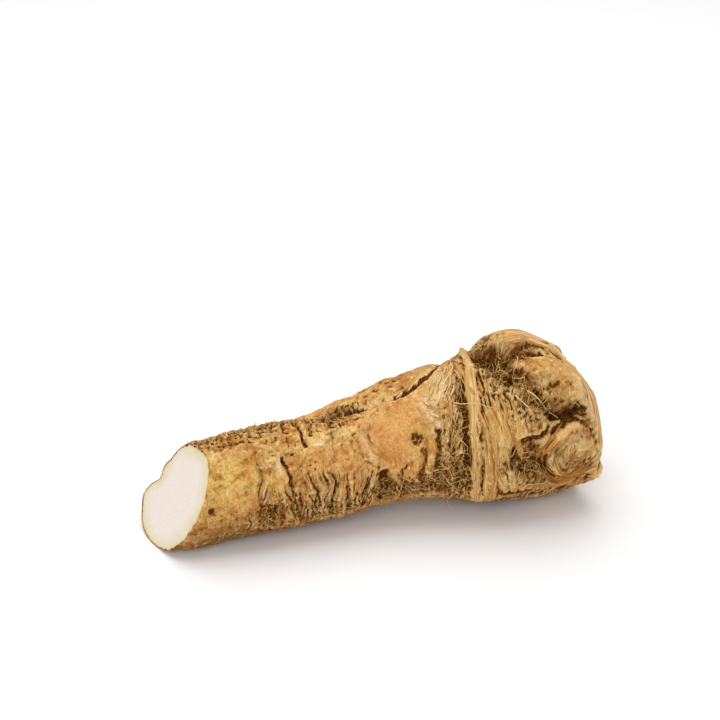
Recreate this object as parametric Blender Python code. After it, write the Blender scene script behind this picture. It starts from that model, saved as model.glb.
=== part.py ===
"""A horseradish root lying on its side, cut at a slant at its thin end and trimmed at its crown.

The root grew as one piece, so it is one solid. Lengths here are in millimetres, and the mesh is made in
metres. X runs along the root from the cut face to the crown, +Z is up, and the root rests on z = 0.

The skin is found along rays. Each ray starts on the root's axis and runs out to where it leaves a body that
is given by a formula: a shank of elliptic sections that swells into the crown, with a side root fused along
its back and a lip on top. Relief then lengthens or shortens the ray: ring wrinkles, cracks, scars, hollows,
buds and a strap of old leaf base.
"""

import bmesh
import bpy
import numpy as np

MM = 0.001

# The cut plane crosses the axis at CUT_X and leans with y and z; the crown ends at CROWN_END
CUT_X = -82.8
CUT_BACK = -0.285
CUT_LEAN = 0.52
CROWN_END = 94.2
CROWN_END_ROUND = 7.0

# The shank and the crown's core, by stations: x, centre y, centre z, half width, half height
SHANK = np.array([
    (-104.0, 0.0, 19.6, 19.5, 19.3),
    (-84.0, 0.0, 20.2, 19.8, 19.9),
    (-62.0, 0.0, 22.0, 20.8, 21.8),
    (-35.0, 0.0, 23.3, 21.8, 22.2),
    (-15.0, -0.5, 23.8, 21.0, 20.9),
    (5.0, -0.5, 25.8, 20.8, 20.5),
    (20.0, -0.5, 29.2, 23.0, 23.6),
    (32.0, -1.0, 31.6, 27.0, 27.6),
    (44.0, -1.5, 32.3, 30.6, 31.0),
    (50.0, -2.0, 33.0, 32.0, 31.8),
    (57.5, -2.0, 36.3, 33.0, 35.6),
    (70.0, -2.0, 36.2, 33.0, 36.0),
    (84.0, -2.0, 33.5, 31.0, 32.6),
    (100.0, -2.0, 30.6, 28.5, 28.4),
])

# Lobes of the section near the cut: turn round the axis and half width in degrees, share of the radius
CUT_LOBES = ((43, 22, 0.07), (160, 22, 0.05), (262, 17, -0.30), (232, 20, -0.16))
CUT_LOBES_FROM, CUT_LOBES_FULL = -45.0, -80.0

# The slope from the crown's top to its end: a point on it, its outward normal, and how far it is rounded
SLOPE_AT = np.array([85.5, 0.0, 59.6])
SLOPE_OUT = np.array([0.70, 0.0, 0.714])
SLOPE_ROUND = 5.0

# The side root along the back and the lip of old leaf bases on the crown: x, y, z, radius
SIDE_ROOT = np.array([
    (-44.0, 8.0, 22.0, 11.0),
    (-24.0, 12.0, 27.0, 12.5),
    (-4.0, 15.0, 31.4, 12.5),
    (16.0, 17.5, 36.9, 12.0),
    (34.0, 18.0, 41.5, 12.0),
])
CAP_LIP = np.array([
    (58.5, 0.0, 70.7, 4.5),
    (65.0, -4.5, 69.9, 4.8),
    (73.0, -5.5, 67.4, 4.6),
    (80.0, -2.0, 63.2, 4.0),
])

# Marks on the crown: height, half width, sharpness of the edge, and the row of points they follow
CROWN_MARKS = {
    "raw hollow": (-5.0, 5.2, 3, (
        (47.5, 5.0, 67.0), (50.5, -4.0, 67.5), (54.0, -11.0, 67.5), (56.0, -18.0, 65.5))),
    "gap under the lip": (-3.6, 2.2, 3, ((57.0, -11.0, 69.5), (64.5, -12.5, 70.5), (71.0, -12.5, 69.5))),
    "shoulder crack": (-3.0, 1.9, 2, (
        (57.0, -19.0, 66.0), (62.0, -26.0, 60.5), (66.0, -30.5, 54.5), (71.0, -32.0, 51.0))),
    "shoulder pit": (-4.2, 2.3, 2, (
        (69.0, -31.5, 51.3), (74.0, -31.5, 50.8), (79.0, -31.0, 51.0), (83.5, -29.5, 51.8))),
    "shoulder swell": (1.8, 9.0, 2, ((70.0, -19.0, 64.0), (80.0, -20.0, 58.5))),
    "raw flank": (-3.0, 6.0, 4, ((57.5, -33.5, 38.0), (60.0, -33.0, 31.0))),
    "arc over the raw flank": (-2.1, 1.6, 2, (
        (51.3, -34.0, 32.5), (53.0, -34.3, 38.5), (57.5, -34.5, 42.5), (63.0, -34.5, 44.5),
        (67.5, -33.5, 47.5))),
    "smooth wedge": (1.3, 4.5, 2, ((50.0, -32.0, 27.0), (57.0, -30.0, 18.0))),
    "ledge": (-1.8, 1.8, 2, ((49.0, -24.0, 8.5), (58.0, -26.0, 9.5), (72.0, -25.0, 8.5), (88.0, -23.0, 9.0))),
    "gap behind the strap": (-1.8, 1.7, 2, (
        (38.4, -8.5, 60.5), (36.0, -19.0, 55.0), (34.6, -26.0, 46.0), (34.6, -28.5, 34.0))),
    "back shoulder": (-3.2, 3.2, 2, (
        (56.0, 28.0, 55.0), (66.0, 31.0, 49.0), (78.0, 29.5, 47.0), (88.0, 25.0, 43.0))),
    "top crack": (-2.0, 1.8, 2, (
        (52.0, 10.0, 66.0), (60.0, 14.0, 68.0), (70.0, 12.0, 68.5), (79.0, 14.0, 62.0))),
    "end cleft": (-3.0, 3.0, 2, (
        (95.0, -20.0, 40.0), (97.0, -6.0, 41.0), (97.0, 6.0, 36.0), (95.0, 19.0, 28.0))),
    "end leaf stub": (2.0, 5.5, 3, ((95.0, 3.0, 47.0), (95.0, 9.0, 44.0))),
    "end low stub": (2.0, 5.0, 3, ((95.0, 9.0, 22.0), (95.0, 10.0, 25.0))),
    "end side stub": (1.6, 4.5, 3, ((94.5, -13.0, 24.0), (94.5, -12.0, 21.0))),
    "trimmed corner": (3.2, 4.0, 3, ((92.5, -25.0, 19.0), (94.0, -20.0, 14.5))),
}

# Buds on the crown's sides: x and z of the middle, half width, half height, side faced along y, ring spacing
BUDS = (
    (77.5, 34.0, 11.5, 14.0, -1.0, 0.36),
    (70.0, 30.0, 11.0, 13.0, 1.0, 0.4),
)
BUD_DOME, BUD_GROOVE, BUD_RINGS = 1.8, -2.4, 0.45
BUD_GROOVE_AT, BUD_GROOVE_WIDTH = 1.04, 0.13

# Cracks and ridges round the skin: x and turn of one end, x and turn of the other, half width, height
STROKES = (
    (-50.0, 85, -49.0, 152, 1.6, -1.1),
    (-44.5, 142, -39.5, 118, 1.5, 1.0),
    (-41.0, 100, -43.5, 78, 1.6, 0.8),
    (-9.5, 170, -2.5, 120, 1.8, 1.0),
    (-31.0, 194, -28.3, 152, 1.1, -1.5),
    (-24.0, 210, -25.0, 164, 1.1, -1.3),
    (-36.5, 200, -35.5, 170, 1.2, -0.9),
    (-17.0, 205, -16.0, 176, 1.2, -1.0),
    (-12.5, 150, -10.0, 120, 1.4, 0.7),
    (1.8, 100, 1.0, 62, 1.9, -2.4),
    (-6.0, 98, -6.5, 60, 1.4, -1.3),
    (-13.0, 96, -13.6, 62, 1.3, -1.2),
    (-19.5, 100, -20.5, 60, 1.4, -1.3),
    (-26.5, 98, -27.5, 64, 1.4, -1.1),
    (-34.0, 96, -35.0, 60, 1.4, -1.2),
    (10.0, 100, 9.0, 60, 1.6, -1.4),
    (18.5, 112, 17.0, 64, 1.6, -1.5),
    (24.5, 125, 23.0, 70, 1.7, -1.6),
    (30.0, 132, 30.5, 62, 1.9, -1.9),
    (35.0, 150, 34.0, 55, 1.5, -1.6),
    (-72.0, 330, -70.0, 250, 1.5, -1.1),
    (-58.0, 345, -60.0, 285, 1.5, -1.2),
    (-30.0, 350, -28.0, 290, 1.6, -1.2),
    (-8.0, 345, -10.0, 300, 1.5, -1.1),
    (14.0, 352, 12.0, 300, 1.7, -1.3),
    (28.0, 345, 30.0, 285, 1.8, -1.4),
)

# Scars, hollows and stubs of broken side roots: x, turn, half width along x, half width in degrees, height
SCARS = (
    (-46.0, 82, 6.0, 13, -1.6),
    (-70.7, 95, 1.8, 6, -1.3),
    (16.4, 128, 2.4, 7, -2.2),
    (28.5, 82, 7.5, 17, -1.8),
    (1.5, 84, 3.5, 14, -1.6),
    (-12.0, 196, 8.0, 10, -1.0),
    (-60.0, 176, 10.0, 11, -0.8),
    (-20.0, 315, 8.0, 18, -1.6),
    (34.0, 318, 9.0, 18, -1.8),
    (-64.0, 300, 4.0, 14, 1.6),
    (8.0, 330, 3.2, 9, 1.8),
    (-40.0, 268, 4.0, 11, -1.4),
    (82.5, 96, 5.5, 8, 1.2),
    (80.0, 265, 7.0, 14, 1.6),
)

# The strap of old leaf base round the crown's neck: turn and x along it, its half width and height
STRAP = np.array([
    (38.0, 41.5),
    (52.0, 39.8),
    (86.0, 37.6),
    (121.0, 37.4),
    (159.0, 40.6),
    (190.0, 44.6),
    (225.0, 48.0),
])
STRAP_HALF, STRAP_HEIGHT, STRAP_TAPER = 2.1, 1.5, 15.0

# Ring wrinkles: spacing and height on the shank, on the crown's neck and on its end
RING_SPACING, RING_HEIGHT = 4.4, 0.75
STRIA_SPACING, STRIA_HEIGHT = 4.1, 0.95
END_RING_SPACING, END_RING_HEIGHT = 4.5, 1.0
RING_WANDER, STRIA_WANDER, STRIA_LEAN = 7.0, 3.0, 0.06

# Unevenness of the skin, and how much calmer it is on the cap of old leaf bases and below
CAP_CALM = 0.7
LUMP_SIZE, LUMP_HEIGHT = 15.0, 1.6
KNOT_SIZE, KNOT_HEIGHT = 6.0, 2.0
WANDER_SIZE = 17.0
UNDERSIDE_CALM, UNDERSIDE_HALF = 0.75, 32.0
MEAN_RADIUS = 22.0

# The grid of rays: they stay square to the axis up to FAN_X, and the last FAN_SHARE of the rows turns to it
ROWS, COLUMNS = 132, 44
FAN_X, FAN_SHARE = 70.0, 0.24
SHEAR_SHARE = 0.35
REACH, COARSE_STEPS, FINE_STEPS = 60.0, 60, 16

# How far the root is flattened where it touches the surface
SETTLE = 0.9

SKIN_COLOUR, SKIN_ROUGHNESS = (0.55, 0.33, 0.12, 1.0), 0.75
FLESH_COLOUR, FLESH_ROUGHNESS = (0.88, 0.82, 0.68, 1.0), 0.5


def track(x, stations, column):
    """A smooth line through one column of a table of stations: cubics that share slopes."""
    xs, ys = stations[:, 0], stations[:, column]
    slope = np.gradient(ys, xs)
    i = np.clip(np.searchsorted(xs, x) - 1, 0, len(xs) - 2)
    gap = xs[i + 1] - xs[i]
    t = np.clip((x - xs[i]) / gap, 0.0, 1.0)
    start = (2 * t**3 - 3 * t**2 + 1) * ys[i] + (t**3 - 2 * t**2 + t) * gap * slope[i]
    end = (3 * t**2 - 2 * t**3) * ys[i + 1] + (t**3 - t**2) * gap * slope[i + 1]
    return start + end


def ramp(x, start, end):
    """0 at start, 1 at end, eased at both."""
    t = np.clip((x - start) / (end - start), 0.0, 1.0)
    return t * t * (3 - 2 * t)


def bell(turn, middle, width):
    """A bump of height 1 round the axis, by turn in degrees."""
    away = (turn - middle + 180.0) % 360.0 - 180.0
    return np.exp(-((away / width) ** 2))


def soft_min(a, b, width):
    """The lesser of two fields, rounded where they cross."""
    share = np.clip(0.5 + 0.5 * (b - a) / width, 0.0, 1.0)
    return b + (a - b) * share - width * share * (1.0 - share)


def soft_max(a, b, width):
    return -soft_min(-a, -b, width)


def value_noise(points, seed):
    """Smooth noise from 0 to 1: a hashed value at each corner of a unit lattice, eased between them."""
    cell = np.floor(points).astype(np.int64)
    part = points - cell
    part = part * part * part * (part * (part * 6 - 15) + 10)
    total = 0.0
    for corner in np.ndindex(2, 2, 2):
        at = cell + np.array(corner)
        mixed = (at[..., 0] * 73856093) ^ (at[..., 1] * 19349663) ^ (at[..., 2] * 83492791) ^ (seed * 97531)
        mixed = (mixed ^ (mixed >> 13)) * 1274126177
        value = ((mixed ^ (mixed >> 16)) & 0xFFFF) / 65535.0
        weight = np.where(corner, part, 1.0 - part).prod(-1)
        total = total + weight * value
    return total


def polar(points):
    """Turn round the axis in degrees: 0 below, 90 at the front (-Y), 180 on top, 270 behind."""
    y = points[..., 1] - track(points[..., 0], SHANK, 1)
    z = points[..., 2] - track(points[..., 0], SHANK, 2)
    return np.degrees(np.arctan2(-y, -z)) % 360.0, y, z


def shank_field(points):
    """Negative inside the shank and the crown's core: elliptic sections, lobed near the cut."""
    x = points[..., 0]
    turn, y, z = polar(points)
    half_width, half_height = track(x, SHANK, 3), track(x, SHANK, 4)
    lobes = sum(share * bell(turn, middle, width) for middle, width, share in CUT_LOBES)
    reach = 1.0 + ramp(x, CUT_LOBES_FROM, CUT_LOBES_FULL) * lobes
    side = (np.hypot(y / half_width, z / half_height) / reach - 1.0) * np.minimum(half_width, half_height)
    return soft_max(side, x - CROWN_END, CROWN_END_ROUND)


def tube_field(points, stations, width):
    """Negative inside a tube of changing radius along a row of points."""
    stations = np.array(stations)
    field = None
    for a, b in zip(stations[:-1], stations[1:]):
        along = b[:3] - a[:3]
        t = np.clip(((points - a[:3]) @ along) / (along @ along), 0.0, 1.0)
        away = np.linalg.norm(points - a[:3] - t[..., None] * along, axis=-1)
        piece = away - (a[3] + (b[3] - a[3]) * t)
        field = piece if field is None else soft_min(field, piece, width)
    return field


def body_field(points):
    """Negative inside the root, before its relief."""
    field = shank_field(points)
    field = soft_max(field, (points - SLOPE_AT) @ SLOPE_OUT, SLOPE_ROUND)
    field = soft_min(field, tube_field(points, CAP_LIP, 2.0), 1.5)
    field = soft_min(field, tube_field(points, SIDE_ROOT, 2.0), 1.2)
    return field


def ray_grid(rows, columns):
    """Starts and directions of the rays: rows along the axis, columns round it."""
    s = np.linspace(0.0, 1.0, rows)[:, None]
    around = np.linspace(0.0, 2 * np.pi, columns, endpoint=False)[None, :]
    x = CUT_X + (FAN_X - CUT_X) * np.clip(s / (1 - FAN_SHARE), 0, 1) + 0 * around
    fan = np.clip((s - (1 - FAN_SHARE)) / FAN_SHARE, 0, 1) * (np.pi / 2)
    shear = np.clip(1 - s / SHEAR_SHARE, 0, 1)
    side, up = -np.sin(around), -np.cos(around)
    start = np.stack([x, track(x, SHANK, 1), track(x, SHANK, 2)], -1)
    direction = np.stack([
        np.sin(fan) + shear * (CUT_BACK * side + CUT_LEAN * up),
        side * np.cos(fan),
        up * np.cos(fan),
    ], -1)
    return start, direction


def ray_lengths(start, direction):
    """How far along each ray the body ends: coarse steps out to the last point inside, then halving."""
    step = REACH / COARSE_STEPS
    inner = np.zeros(start.shape[:2])
    for t in np.linspace(0.0, REACH, COARSE_STEPS + 1):
        inside = body_field(start + direction * t) < 0
        inner = np.where(inside & (inner >= t - 1.5 * step), t, inner)
    outer = inner + step
    for _ in range(FINE_STEPS):
        middle = (inner + outer) / 2
        inside = body_field(start + direction * middle[..., None]) < 0
        inner, outer = np.where(inside, middle, inner), np.where(inside, outer, middle)
    return (inner + outer) / 2


def stroke(x, turn, stroke_from, stroke_to, half_width):
    """1 along a line on the skin, fading to each side; the skin is unrolled at its mean radius."""
    degree = np.radians(1.0) * MEAN_RADIUS
    ax, at = stroke_from
    bx, bt = stroke_to
    along = np.array([bx - ax, (bt - at) * degree])
    here = np.stack([x - ax, ((turn - at + 180.0) % 360.0 - 180.0) * degree], -1)
    t = np.clip((here @ along) / (along @ along), 0.0, 1.0)
    away = np.linalg.norm(here - t[..., None] * along, axis=-1)
    return np.exp(-((away / half_width) ** 2))


def mark(points, stations, half_width, sharpness):
    """1 along a row of points in space, fading to the sides; a higher sharpness gives steeper edges."""
    away = None
    for a, b in zip(stations[:-1], stations[1:]):
        a, along = np.array(a), np.array(b) - np.array(a)
        t = np.clip(((points - a) @ along) / (along @ along), 0.0, 1.0)
        piece = np.linalg.norm(points - a - t[..., None] * along, axis=-1)
        away = piece if away is None else np.minimum(away, piece)
    return np.exp(-((away / half_width) ** sharpness))


def bands(points, x, spacing, seed):
    """Rounded bands with narrow cracks between, from -1 to 1; noise makes each one higher or lower."""
    phase = x / spacing
    across = 2 * np.abs(phase - np.floor(phase) - 0.5)
    place = np.stack([np.floor(phase) * 1.7, points[..., 1] / 30.0, points[..., 2] / 30.0], -1)
    own = value_noise(place, seed)
    return (1.0 - across**4) * (0.45 + 1.1 * own) - 0.6


def buds(points):
    """Domes with a groove round them and faint rings inside."""
    height = 0.0
    for x, z, half_x, half_z, facing, ring in BUDS:
        rho = np.hypot((points[..., 0] - x) / half_x, (points[..., 2] - z) / half_z)
        front = ramp(points[..., 1] * facing, 12.0, 22.0)
        dome = BUD_DOME * np.clip(1 - rho**2, 0, 1)
        groove = BUD_GROOVE * np.exp(-(((rho - BUD_GROOVE_AT) / BUD_GROOVE_WIDTH) ** 2))
        rings = BUD_RINGS * np.sin(2 * np.pi * rho / ring) * ramp(rho, 0.2, 0.5) * ramp(rho, 1.25, 0.95)
        height = height + front * (dome + (groove + rings) * ramp(points[..., 0], x + 8.0, x - 2.0))
    return height


def relief(points):
    """Height of the skin over the body, in millimetres."""
    x = points[..., 0]
    turn, y, z = polar(points)
    away = np.hypot(y, z)
    wander = value_noise(points / WANDER_SIZE, 3) - 0.5
    lumps = LUMP_HEIGHT * (value_noise(points / LUMP_SIZE, 5) - 0.5)
    knots = KNOT_HEIGHT * (value_noise(points / KNOT_SIZE, 9) - 0.5) * ramp(x, 52.0, 60.0)
    low_front, back = bell(turn, 74, 30) * ramp(x, -62.0, -40.0), bell(turn, 300, 50)
    along_top = bell(turn, 195, 26) * ramp(x, 0.0, -20.0)
    rough = np.clip(0.22 * ramp(x, -60.0, -40.0) + low_front + along_top + 0.8 * back, 0, 1)
    rings = RING_HEIGHT * rough * bands(points, x + RING_WANDER * wander, RING_SPACING, 7)
    lean = STRIA_LEAN * (turn - 90.0) * (turn < 200)
    striae = STRIA_HEIGHT * bands(points, x + STRIA_WANDER * wander + lean, STRIA_SPACING, 11)
    end_rings = END_RING_HEIGHT * np.sin(2 * np.pi * (away + 5.0 * wander) / END_RING_SPACING) / 2
    on_shank, on_end = ramp(x, 41.0, 35.0), ramp(x, CROWN_END - 9.0, CROWN_END - 3.0)
    on_neck = (1 - on_shank) * ramp(x, 66.0, 56.0)
    on_cap = bell(turn, 184, 30) * ramp(x, 54.0, 60.0)
    height = lumps + knots * (1 - on_end) * (1 - CAP_CALM * on_cap) + rings * on_shank
    height = height + striae * on_neck * (1 - on_cap) + end_rings * on_end
    height = height + buds(points)
    for ax, at, bx, bt, half_width, rise in STROKES:
        height = height + rise * stroke(x, turn, (ax, at), (bx, bt), half_width)
    for sx, middle, half_x, half_turn, rise in SCARS:
        height = height + rise * np.exp(-(((x - sx) / half_x) ** 2)) * bell(turn, middle, half_turn)
    for rise, half_width, sharpness, stations in CROWN_MARKS.values():
        height = height + rise * mark(points, stations, half_width, sharpness)
    strap_x = np.interp(turn, STRAP[:, 0], STRAP[:, 1])
    first, last = STRAP[0, 0], STRAP[-1, 0]
    ends = ramp(turn, first, first + STRAP_TAPER) * ramp(turn, last, last - STRAP_TAPER)
    height = height * (1 - UNDERSIDE_CALM * bell(turn, 0, UNDERSIDE_HALF))
    return height + STRAP_HEIGHT * ends * np.exp(-(((x - strap_x) / STRAP_HALF) ** 4))


def skin_points(rows, columns):
    """The skin's grid of points, centred over the surface it rests on."""
    start, direction = ray_grid(rows, columns)
    length = ray_lengths(start, direction)
    length = length + relief(start + direction * length[..., None])
    points = start + direction * length[..., None]
    low, high = points.min((0, 1)), points.max((0, 1))
    points -= np.array([(low[0] + high[0]) / 2, (low[1] + high[1]) / 2, low[2] + SETTLE])
    points[..., 2] = np.maximum(points[..., 2], 0.0)
    return points


def material(name, colour, roughness):
    made = bpy.data.materials.new(name)
    made.use_nodes = True
    shader = made.node_tree.nodes["Principled BSDF"]
    shader.inputs["Base Color"].default_value = colour
    shader.inputs["Roughness"].default_value = roughness
    return made


def make_root():
    """The closed mesh: quads between the rows, one flat face for the cut, a fan to the pole at the crown."""
    points = skin_points(ROWS, COLUMNS) * MM
    mesh = bpy.data.meshes.new("horseradish_root")
    form = bmesh.new()
    rows = [[form.verts.new(point) for point in row] for row in points[:-1]]
    pole = form.verts.new(points[-1].mean(0))
    for near, far in zip(rows[:-1], rows[1:]):
        for j in range(COLUMNS):
            k = (j + 1) % COLUMNS
            form.faces.new((near[j], near[k], far[k], far[j]))
    for j in range(COLUMNS):
        form.faces.new((rows[-1][j], rows[-1][(j + 1) % COLUMNS], pole))
    cut = form.faces.new(rows[0])
    bmesh.ops.recalc_face_normals(form, faces=form.faces)
    for face in form.faces:
        face.smooth = True
    cut.smooth = False
    cut.material_index = 1
    form.to_mesh(mesh)
    form.free()
    mesh.materials.append(material("horseradish skin", SKIN_COLOUR, SKIN_ROUGHNESS))
    mesh.materials.append(material("horseradish flesh", FLESH_COLOUR, FLESH_ROUGHNESS))
    root = bpy.data.objects.new("horseradish_root", mesh)
    bpy.context.scene.collection.objects.link(root)
    return root


for old in list(bpy.data.objects):
    bpy.data.objects.remove(old)
make_root()
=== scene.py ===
"""The looks of a horseradish root: corky skin, cut face, torn leaf bases on the crown, and rootlets.

The root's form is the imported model's own formula, worked out here on a finer grid with finer relief.
Lengths are in millimetres until a mesh is made. "Turn" is the angle round the root's axis in degrees: 0 is
below, 90 is the front (-Y), 180 is the top and 270 is the back.
"""

import math

import bpy
import numpy as np
from mathutils import Matrix


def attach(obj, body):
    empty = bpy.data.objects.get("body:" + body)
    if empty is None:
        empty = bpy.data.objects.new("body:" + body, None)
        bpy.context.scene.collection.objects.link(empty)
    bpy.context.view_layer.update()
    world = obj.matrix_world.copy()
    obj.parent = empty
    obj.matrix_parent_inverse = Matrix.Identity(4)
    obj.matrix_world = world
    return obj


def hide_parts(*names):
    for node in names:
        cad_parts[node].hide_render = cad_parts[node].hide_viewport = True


NODE = "horseradish_root"
BODY = "root"
MM = 0.001

# Where the formula's origin lies in the frame, whose origin is the middle of the root's box on the floor
FORMULA_AT = np.array([-0.932, 1.534, -0.863])

# The cut plane crosses the axis at CUT_X and leans with y and z; the crown ends at CROWN_END, and what is on
# the end alone comes in from END_FROM to END_FULL
CUT_X = -82.8
CUT_BACK = -0.285
CUT_LEAN = 0.52
CROWN_END = 94.2
CROWN_END_ROUND = 7.0
END_FROM, END_FULL = CROWN_END - 9.0, CROWN_END - 3.0

# The shank and the crown's core, by stations: x, centre y, centre z, half width, half height
SHANK = np.array([
    (-104.0, 0.0, 19.6, 19.5, 19.3),
    (-84.0, 0.0, 20.2, 19.8, 19.9),
    (-62.0, 0.0, 22.0, 20.8, 21.8),
    (-35.0, 0.0, 23.3, 21.8, 22.2),
    (-15.0, -0.5, 23.8, 21.0, 20.9),
    (5.0, -0.5, 25.8, 20.8, 20.5),
    (20.0, -0.5, 29.2, 23.0, 23.6),
    (32.0, -1.0, 31.6, 27.0, 27.6),
    (44.0, -1.5, 32.3, 30.6, 31.0),
    (50.0, -2.0, 33.0, 32.0, 31.8),
    (57.5, -2.0, 36.3, 33.0, 35.6),
    (70.0, -2.0, 36.2, 33.0, 36.0),
    (84.0, -2.0, 33.5, 31.0, 32.6),
    (100.0, -2.0, 30.6, 28.5, 28.4),
])

# Lobes of the section near the cut: turn round the axis and half width in degrees, share of the radius
CUT_LOBES = ((43, 22, 0.07), (160, 22, 0.05), (262, 17, -0.30), (232, 20, -0.16))
CUT_LOBES_FROM, CUT_LOBES_FULL = -45.0, -80.0

# The slope from the crown's top to its end: a point on it, its outward normal, and how far it is rounded
SLOPE_AT = np.array([85.5, 0.0, 59.6])
SLOPE_OUT = np.array([0.70, 0.0, 0.714])
SLOPE_ROUND = 5.0

# The side root along the back and the lip of old leaf bases on the crown: x, y, z, radius
SIDE_ROOT = np.array([
    (-44.0, 8.0, 22.0, 11.0),
    (-24.0, 12.0, 27.0, 12.5),
    (-4.0, 15.0, 31.4, 12.5),
    (16.0, 17.5, 36.9, 12.0),
    (34.0, 18.0, 41.5, 12.0),
])
CAP_LIP = np.array([
    (58.5, 0.0, 70.7, 4.5),
    (65.0, -4.5, 69.9, 4.8),
    (73.0, -5.5, 67.4, 4.6),
    (80.0, -2.0, 63.2, 4.0),
])

# Marks on the crown: height, half width, sharpness of the edge, and the row of points they follow
CROWN_MARKS = {
    "raw hollow": (-5, 5.2, 3, ((47.5, 5, 67), (50.5, -4, 67.5), (54, -11, 67.5), (56, -18, 65.5))),
    "gap under the lip": (-3, 1.6, 3, ((57, -11, 69.5), (64.5, -12.5, 70.5), (71, -12.5, 69.5))),
    "shoulder crack": (-3, 1.9, 2, ((57, -19, 66), (62, -26, 60.5), (66, -30.5, 54.5), (71, -32, 51))),
    "shoulder pit": (-4.2, 2.3, 2, (
        (69, -31.5, 51.3), (74, -31.5, 50.8), (79, -31, 51), (83.5, -29.5, 51.8))),
    "shoulder swell": (1.8, 9, 2, ((70, -19, 64), (80, -20, 58.5))),
    "raw flank": (-3, 6, 4, ((57.5, -33.5, 38), (60, -33, 31))),
    "arc over the raw flank": (-2.1, 1.6, 2, (
        (51.3, -34, 32.5), (53, -34.3, 38.5), (57.5, -34.5, 42.5), (63, -34.5, 44.5), (67.5, -33.5, 47.5))),
    "smooth wedge": (1.3, 4.5, 2, ((50, -32, 27), (57, -30, 18))),
    "ledge": (-1.8, 1.8, 2, ((49, -24, 8.5), (58, -26, 9.5), (72, -25, 8.5), (88, -23, 9))),
    "gap behind the strap": (-1.8, 1.7, 2, (
        (38.4, -8.5, 60.5), (36, -19, 55), (34.6, -26, 46), (34.6, -28.5, 34))),
    "back shoulder": (-3.2, 3.2, 2, ((56, 28, 55), (66, 31, 49), (78, 29.5, 47), (88, 25, 43))),
    "top crack": (-0.9, 1.8, 2, ((52, 10, 66), (60, 14, 68), (70, 12, 68.5), (79, 14, 62))),
    "end cleft": (-3, 3, 2, ((95, -20, 40), (97, -6, 41), (97, 6, 36), (95, 19, 28))),
    "end leaf stub": (2, 5.5, 3, ((95, 3, 47), (95, 9, 44))),
    "end low stub": (2, 5, 3, ((95, 9, 22), (95, 10, 25))),
    "end side stub": (1.6, 4.5, 3, ((94.5, -13, 24), (94.5, -12, 21))),
    "trimmed corner": (3.2, 4, 3, ((92.5, -25, 19), (94, -20, 14.5))),
}

# Buds on the crown's sides: x and z of the middle, half width, half height, side faced along y, ring spacing
BUDS = (
    (77.5, 34, 11.5, 14, -1, 0.36), (70, 30, 11, 13, 1, 0.4),
)
BUD_DOME, BUD_GROOVE, BUD_RINGS = 1.8, -2.4, 0.45
BUD_GROOVE_AT, BUD_GROOVE_WIDTH = 1.04, 0.13

# How far out to its side a bud starts to show, and from where it is whole
BUD_SIDE_FROM, BUD_SIDE_FULL = 12.0, 22.0

# Cracks and ridges round the skin: x and turn of one end, x and turn of the other, half width, height
STROKES = (
    (-50, 85, -49, 152, 1.5, -0.7), (-44.5, 142, -39.5, 118, 1.5, 1), (-41, 100, -43.5, 78, 1.6, 0.8),
    (-40.5, 142, -37.8, 118, 1, -1.2), (-37.8, 118, -36.5, 86, 1.1, -1.2), (-9.5, 170, -2.5, 120, 1.8, 1),
    (-31, 194, -28.3, 152, 1.1, -1.5), (-24, 210, -25, 164, 1.1, -1.3),
    (-36.5, 200, -35.5, 170, 1.2, -0.9), (-17, 205, -16, 176, 1.2, -1), (-12.5, 150, -10, 120, 1.4, 0.7),
    (1.8, 100, 1, 62, 1.9, -2.4), (-6, 98, -6.5, 60, 1.4, -1.3), (-13, 96, -13.6, 62, 1.3, -1.2),
    (-19.5, 100, -20.5, 60, 1.4, -1.3), (-26.5, 98, -27.5, 64, 1.4, -1.1), (-34, 96, -35, 60, 1.4, -1.2),
    (10, 100, 9, 60, 1.6, -1.4), (18.5, 112, 17, 64, 1.6, -1.5), (24.5, 125, 23, 70, 1.7, -1.6),
    (30, 132, 30.5, 62, 1.9, -1.9), (35, 150, 34, 55, 1.5, -1.6), (-10, 203, 6, 203, 1.5, -2.4),
    (6, 203, 20, 193, 1.7, -3.8), (20, 193, 27, 194, 1.8, -4.4), (27, 194, 36, 211, 1.8, -4.4),
    (-72, 330, -70, 250, 1.5, -1.1), (-58, 345, -60, 285, 1.5, -1.2), (-30, 350, -28, 290, 1.6, -1.2),
    (-8, 345, -10, 300, 1.5, -1.1), (14, 352, 12, 300, 1.7, -1.3), (28, 345, 30, 285, 1.8, -1.4),
)

# Scars, hollows and stubs of broken side roots: x, turn, half width along x, half width in degrees, height
SCARS = (
    (-46, 82, 6, 13, -1.6), (-70.7, 95, 1.8, 6, -1.3), (16.4, 128, 2.4, 7, -2.2),
    (28.5, 82, 7.5, 17, -1.8), (1.5, 84, 3.5, 14, -1.6), (-12, 196, 8, 10, -1), (-60, 176, 10, 11, -0.8),
    (-20, 315, 8, 18, -1.6), (34, 318, 9, 18, -1.8), (-64, 300, 4, 14, 1.6), (8, 330, 3.2, 9, 1.8),
    (-40, 268, 4, 11, -1.4), (82.5, 96, 5.5, 8, 1.2), (80, 265, 7, 14, 1.6),
)

# The strap of old leaf base round the crown's neck: turn and x along it, its half width and height
STRAP = np.array([
    (38.0, 41.5),
    (52.0, 39.8),
    (86.0, 37.6),
    (121.0, 37.4),
    (159.0, 40.6),
    (190.0, 44.6),
    (225.0, 48.0),
])
STRAP_HALF, STRAP_HEIGHT, STRAP_TAPER = 2.1, 1.5, 15.0

# Ring wrinkles: spacing and height on the shank, on the crown's neck and on its end
RING_SPACING, RING_HEIGHT = 4.4, 0.5
STRIA_SPACING, STRIA_HEIGHT = 4.1, 0.55
END_RING_SPACING, END_RING_HEIGHT = 4.5, 0.65
RING_WANDER, STRIA_WANDER, STRIA_LEAN = 7.0, 3.0, 0.06

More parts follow.
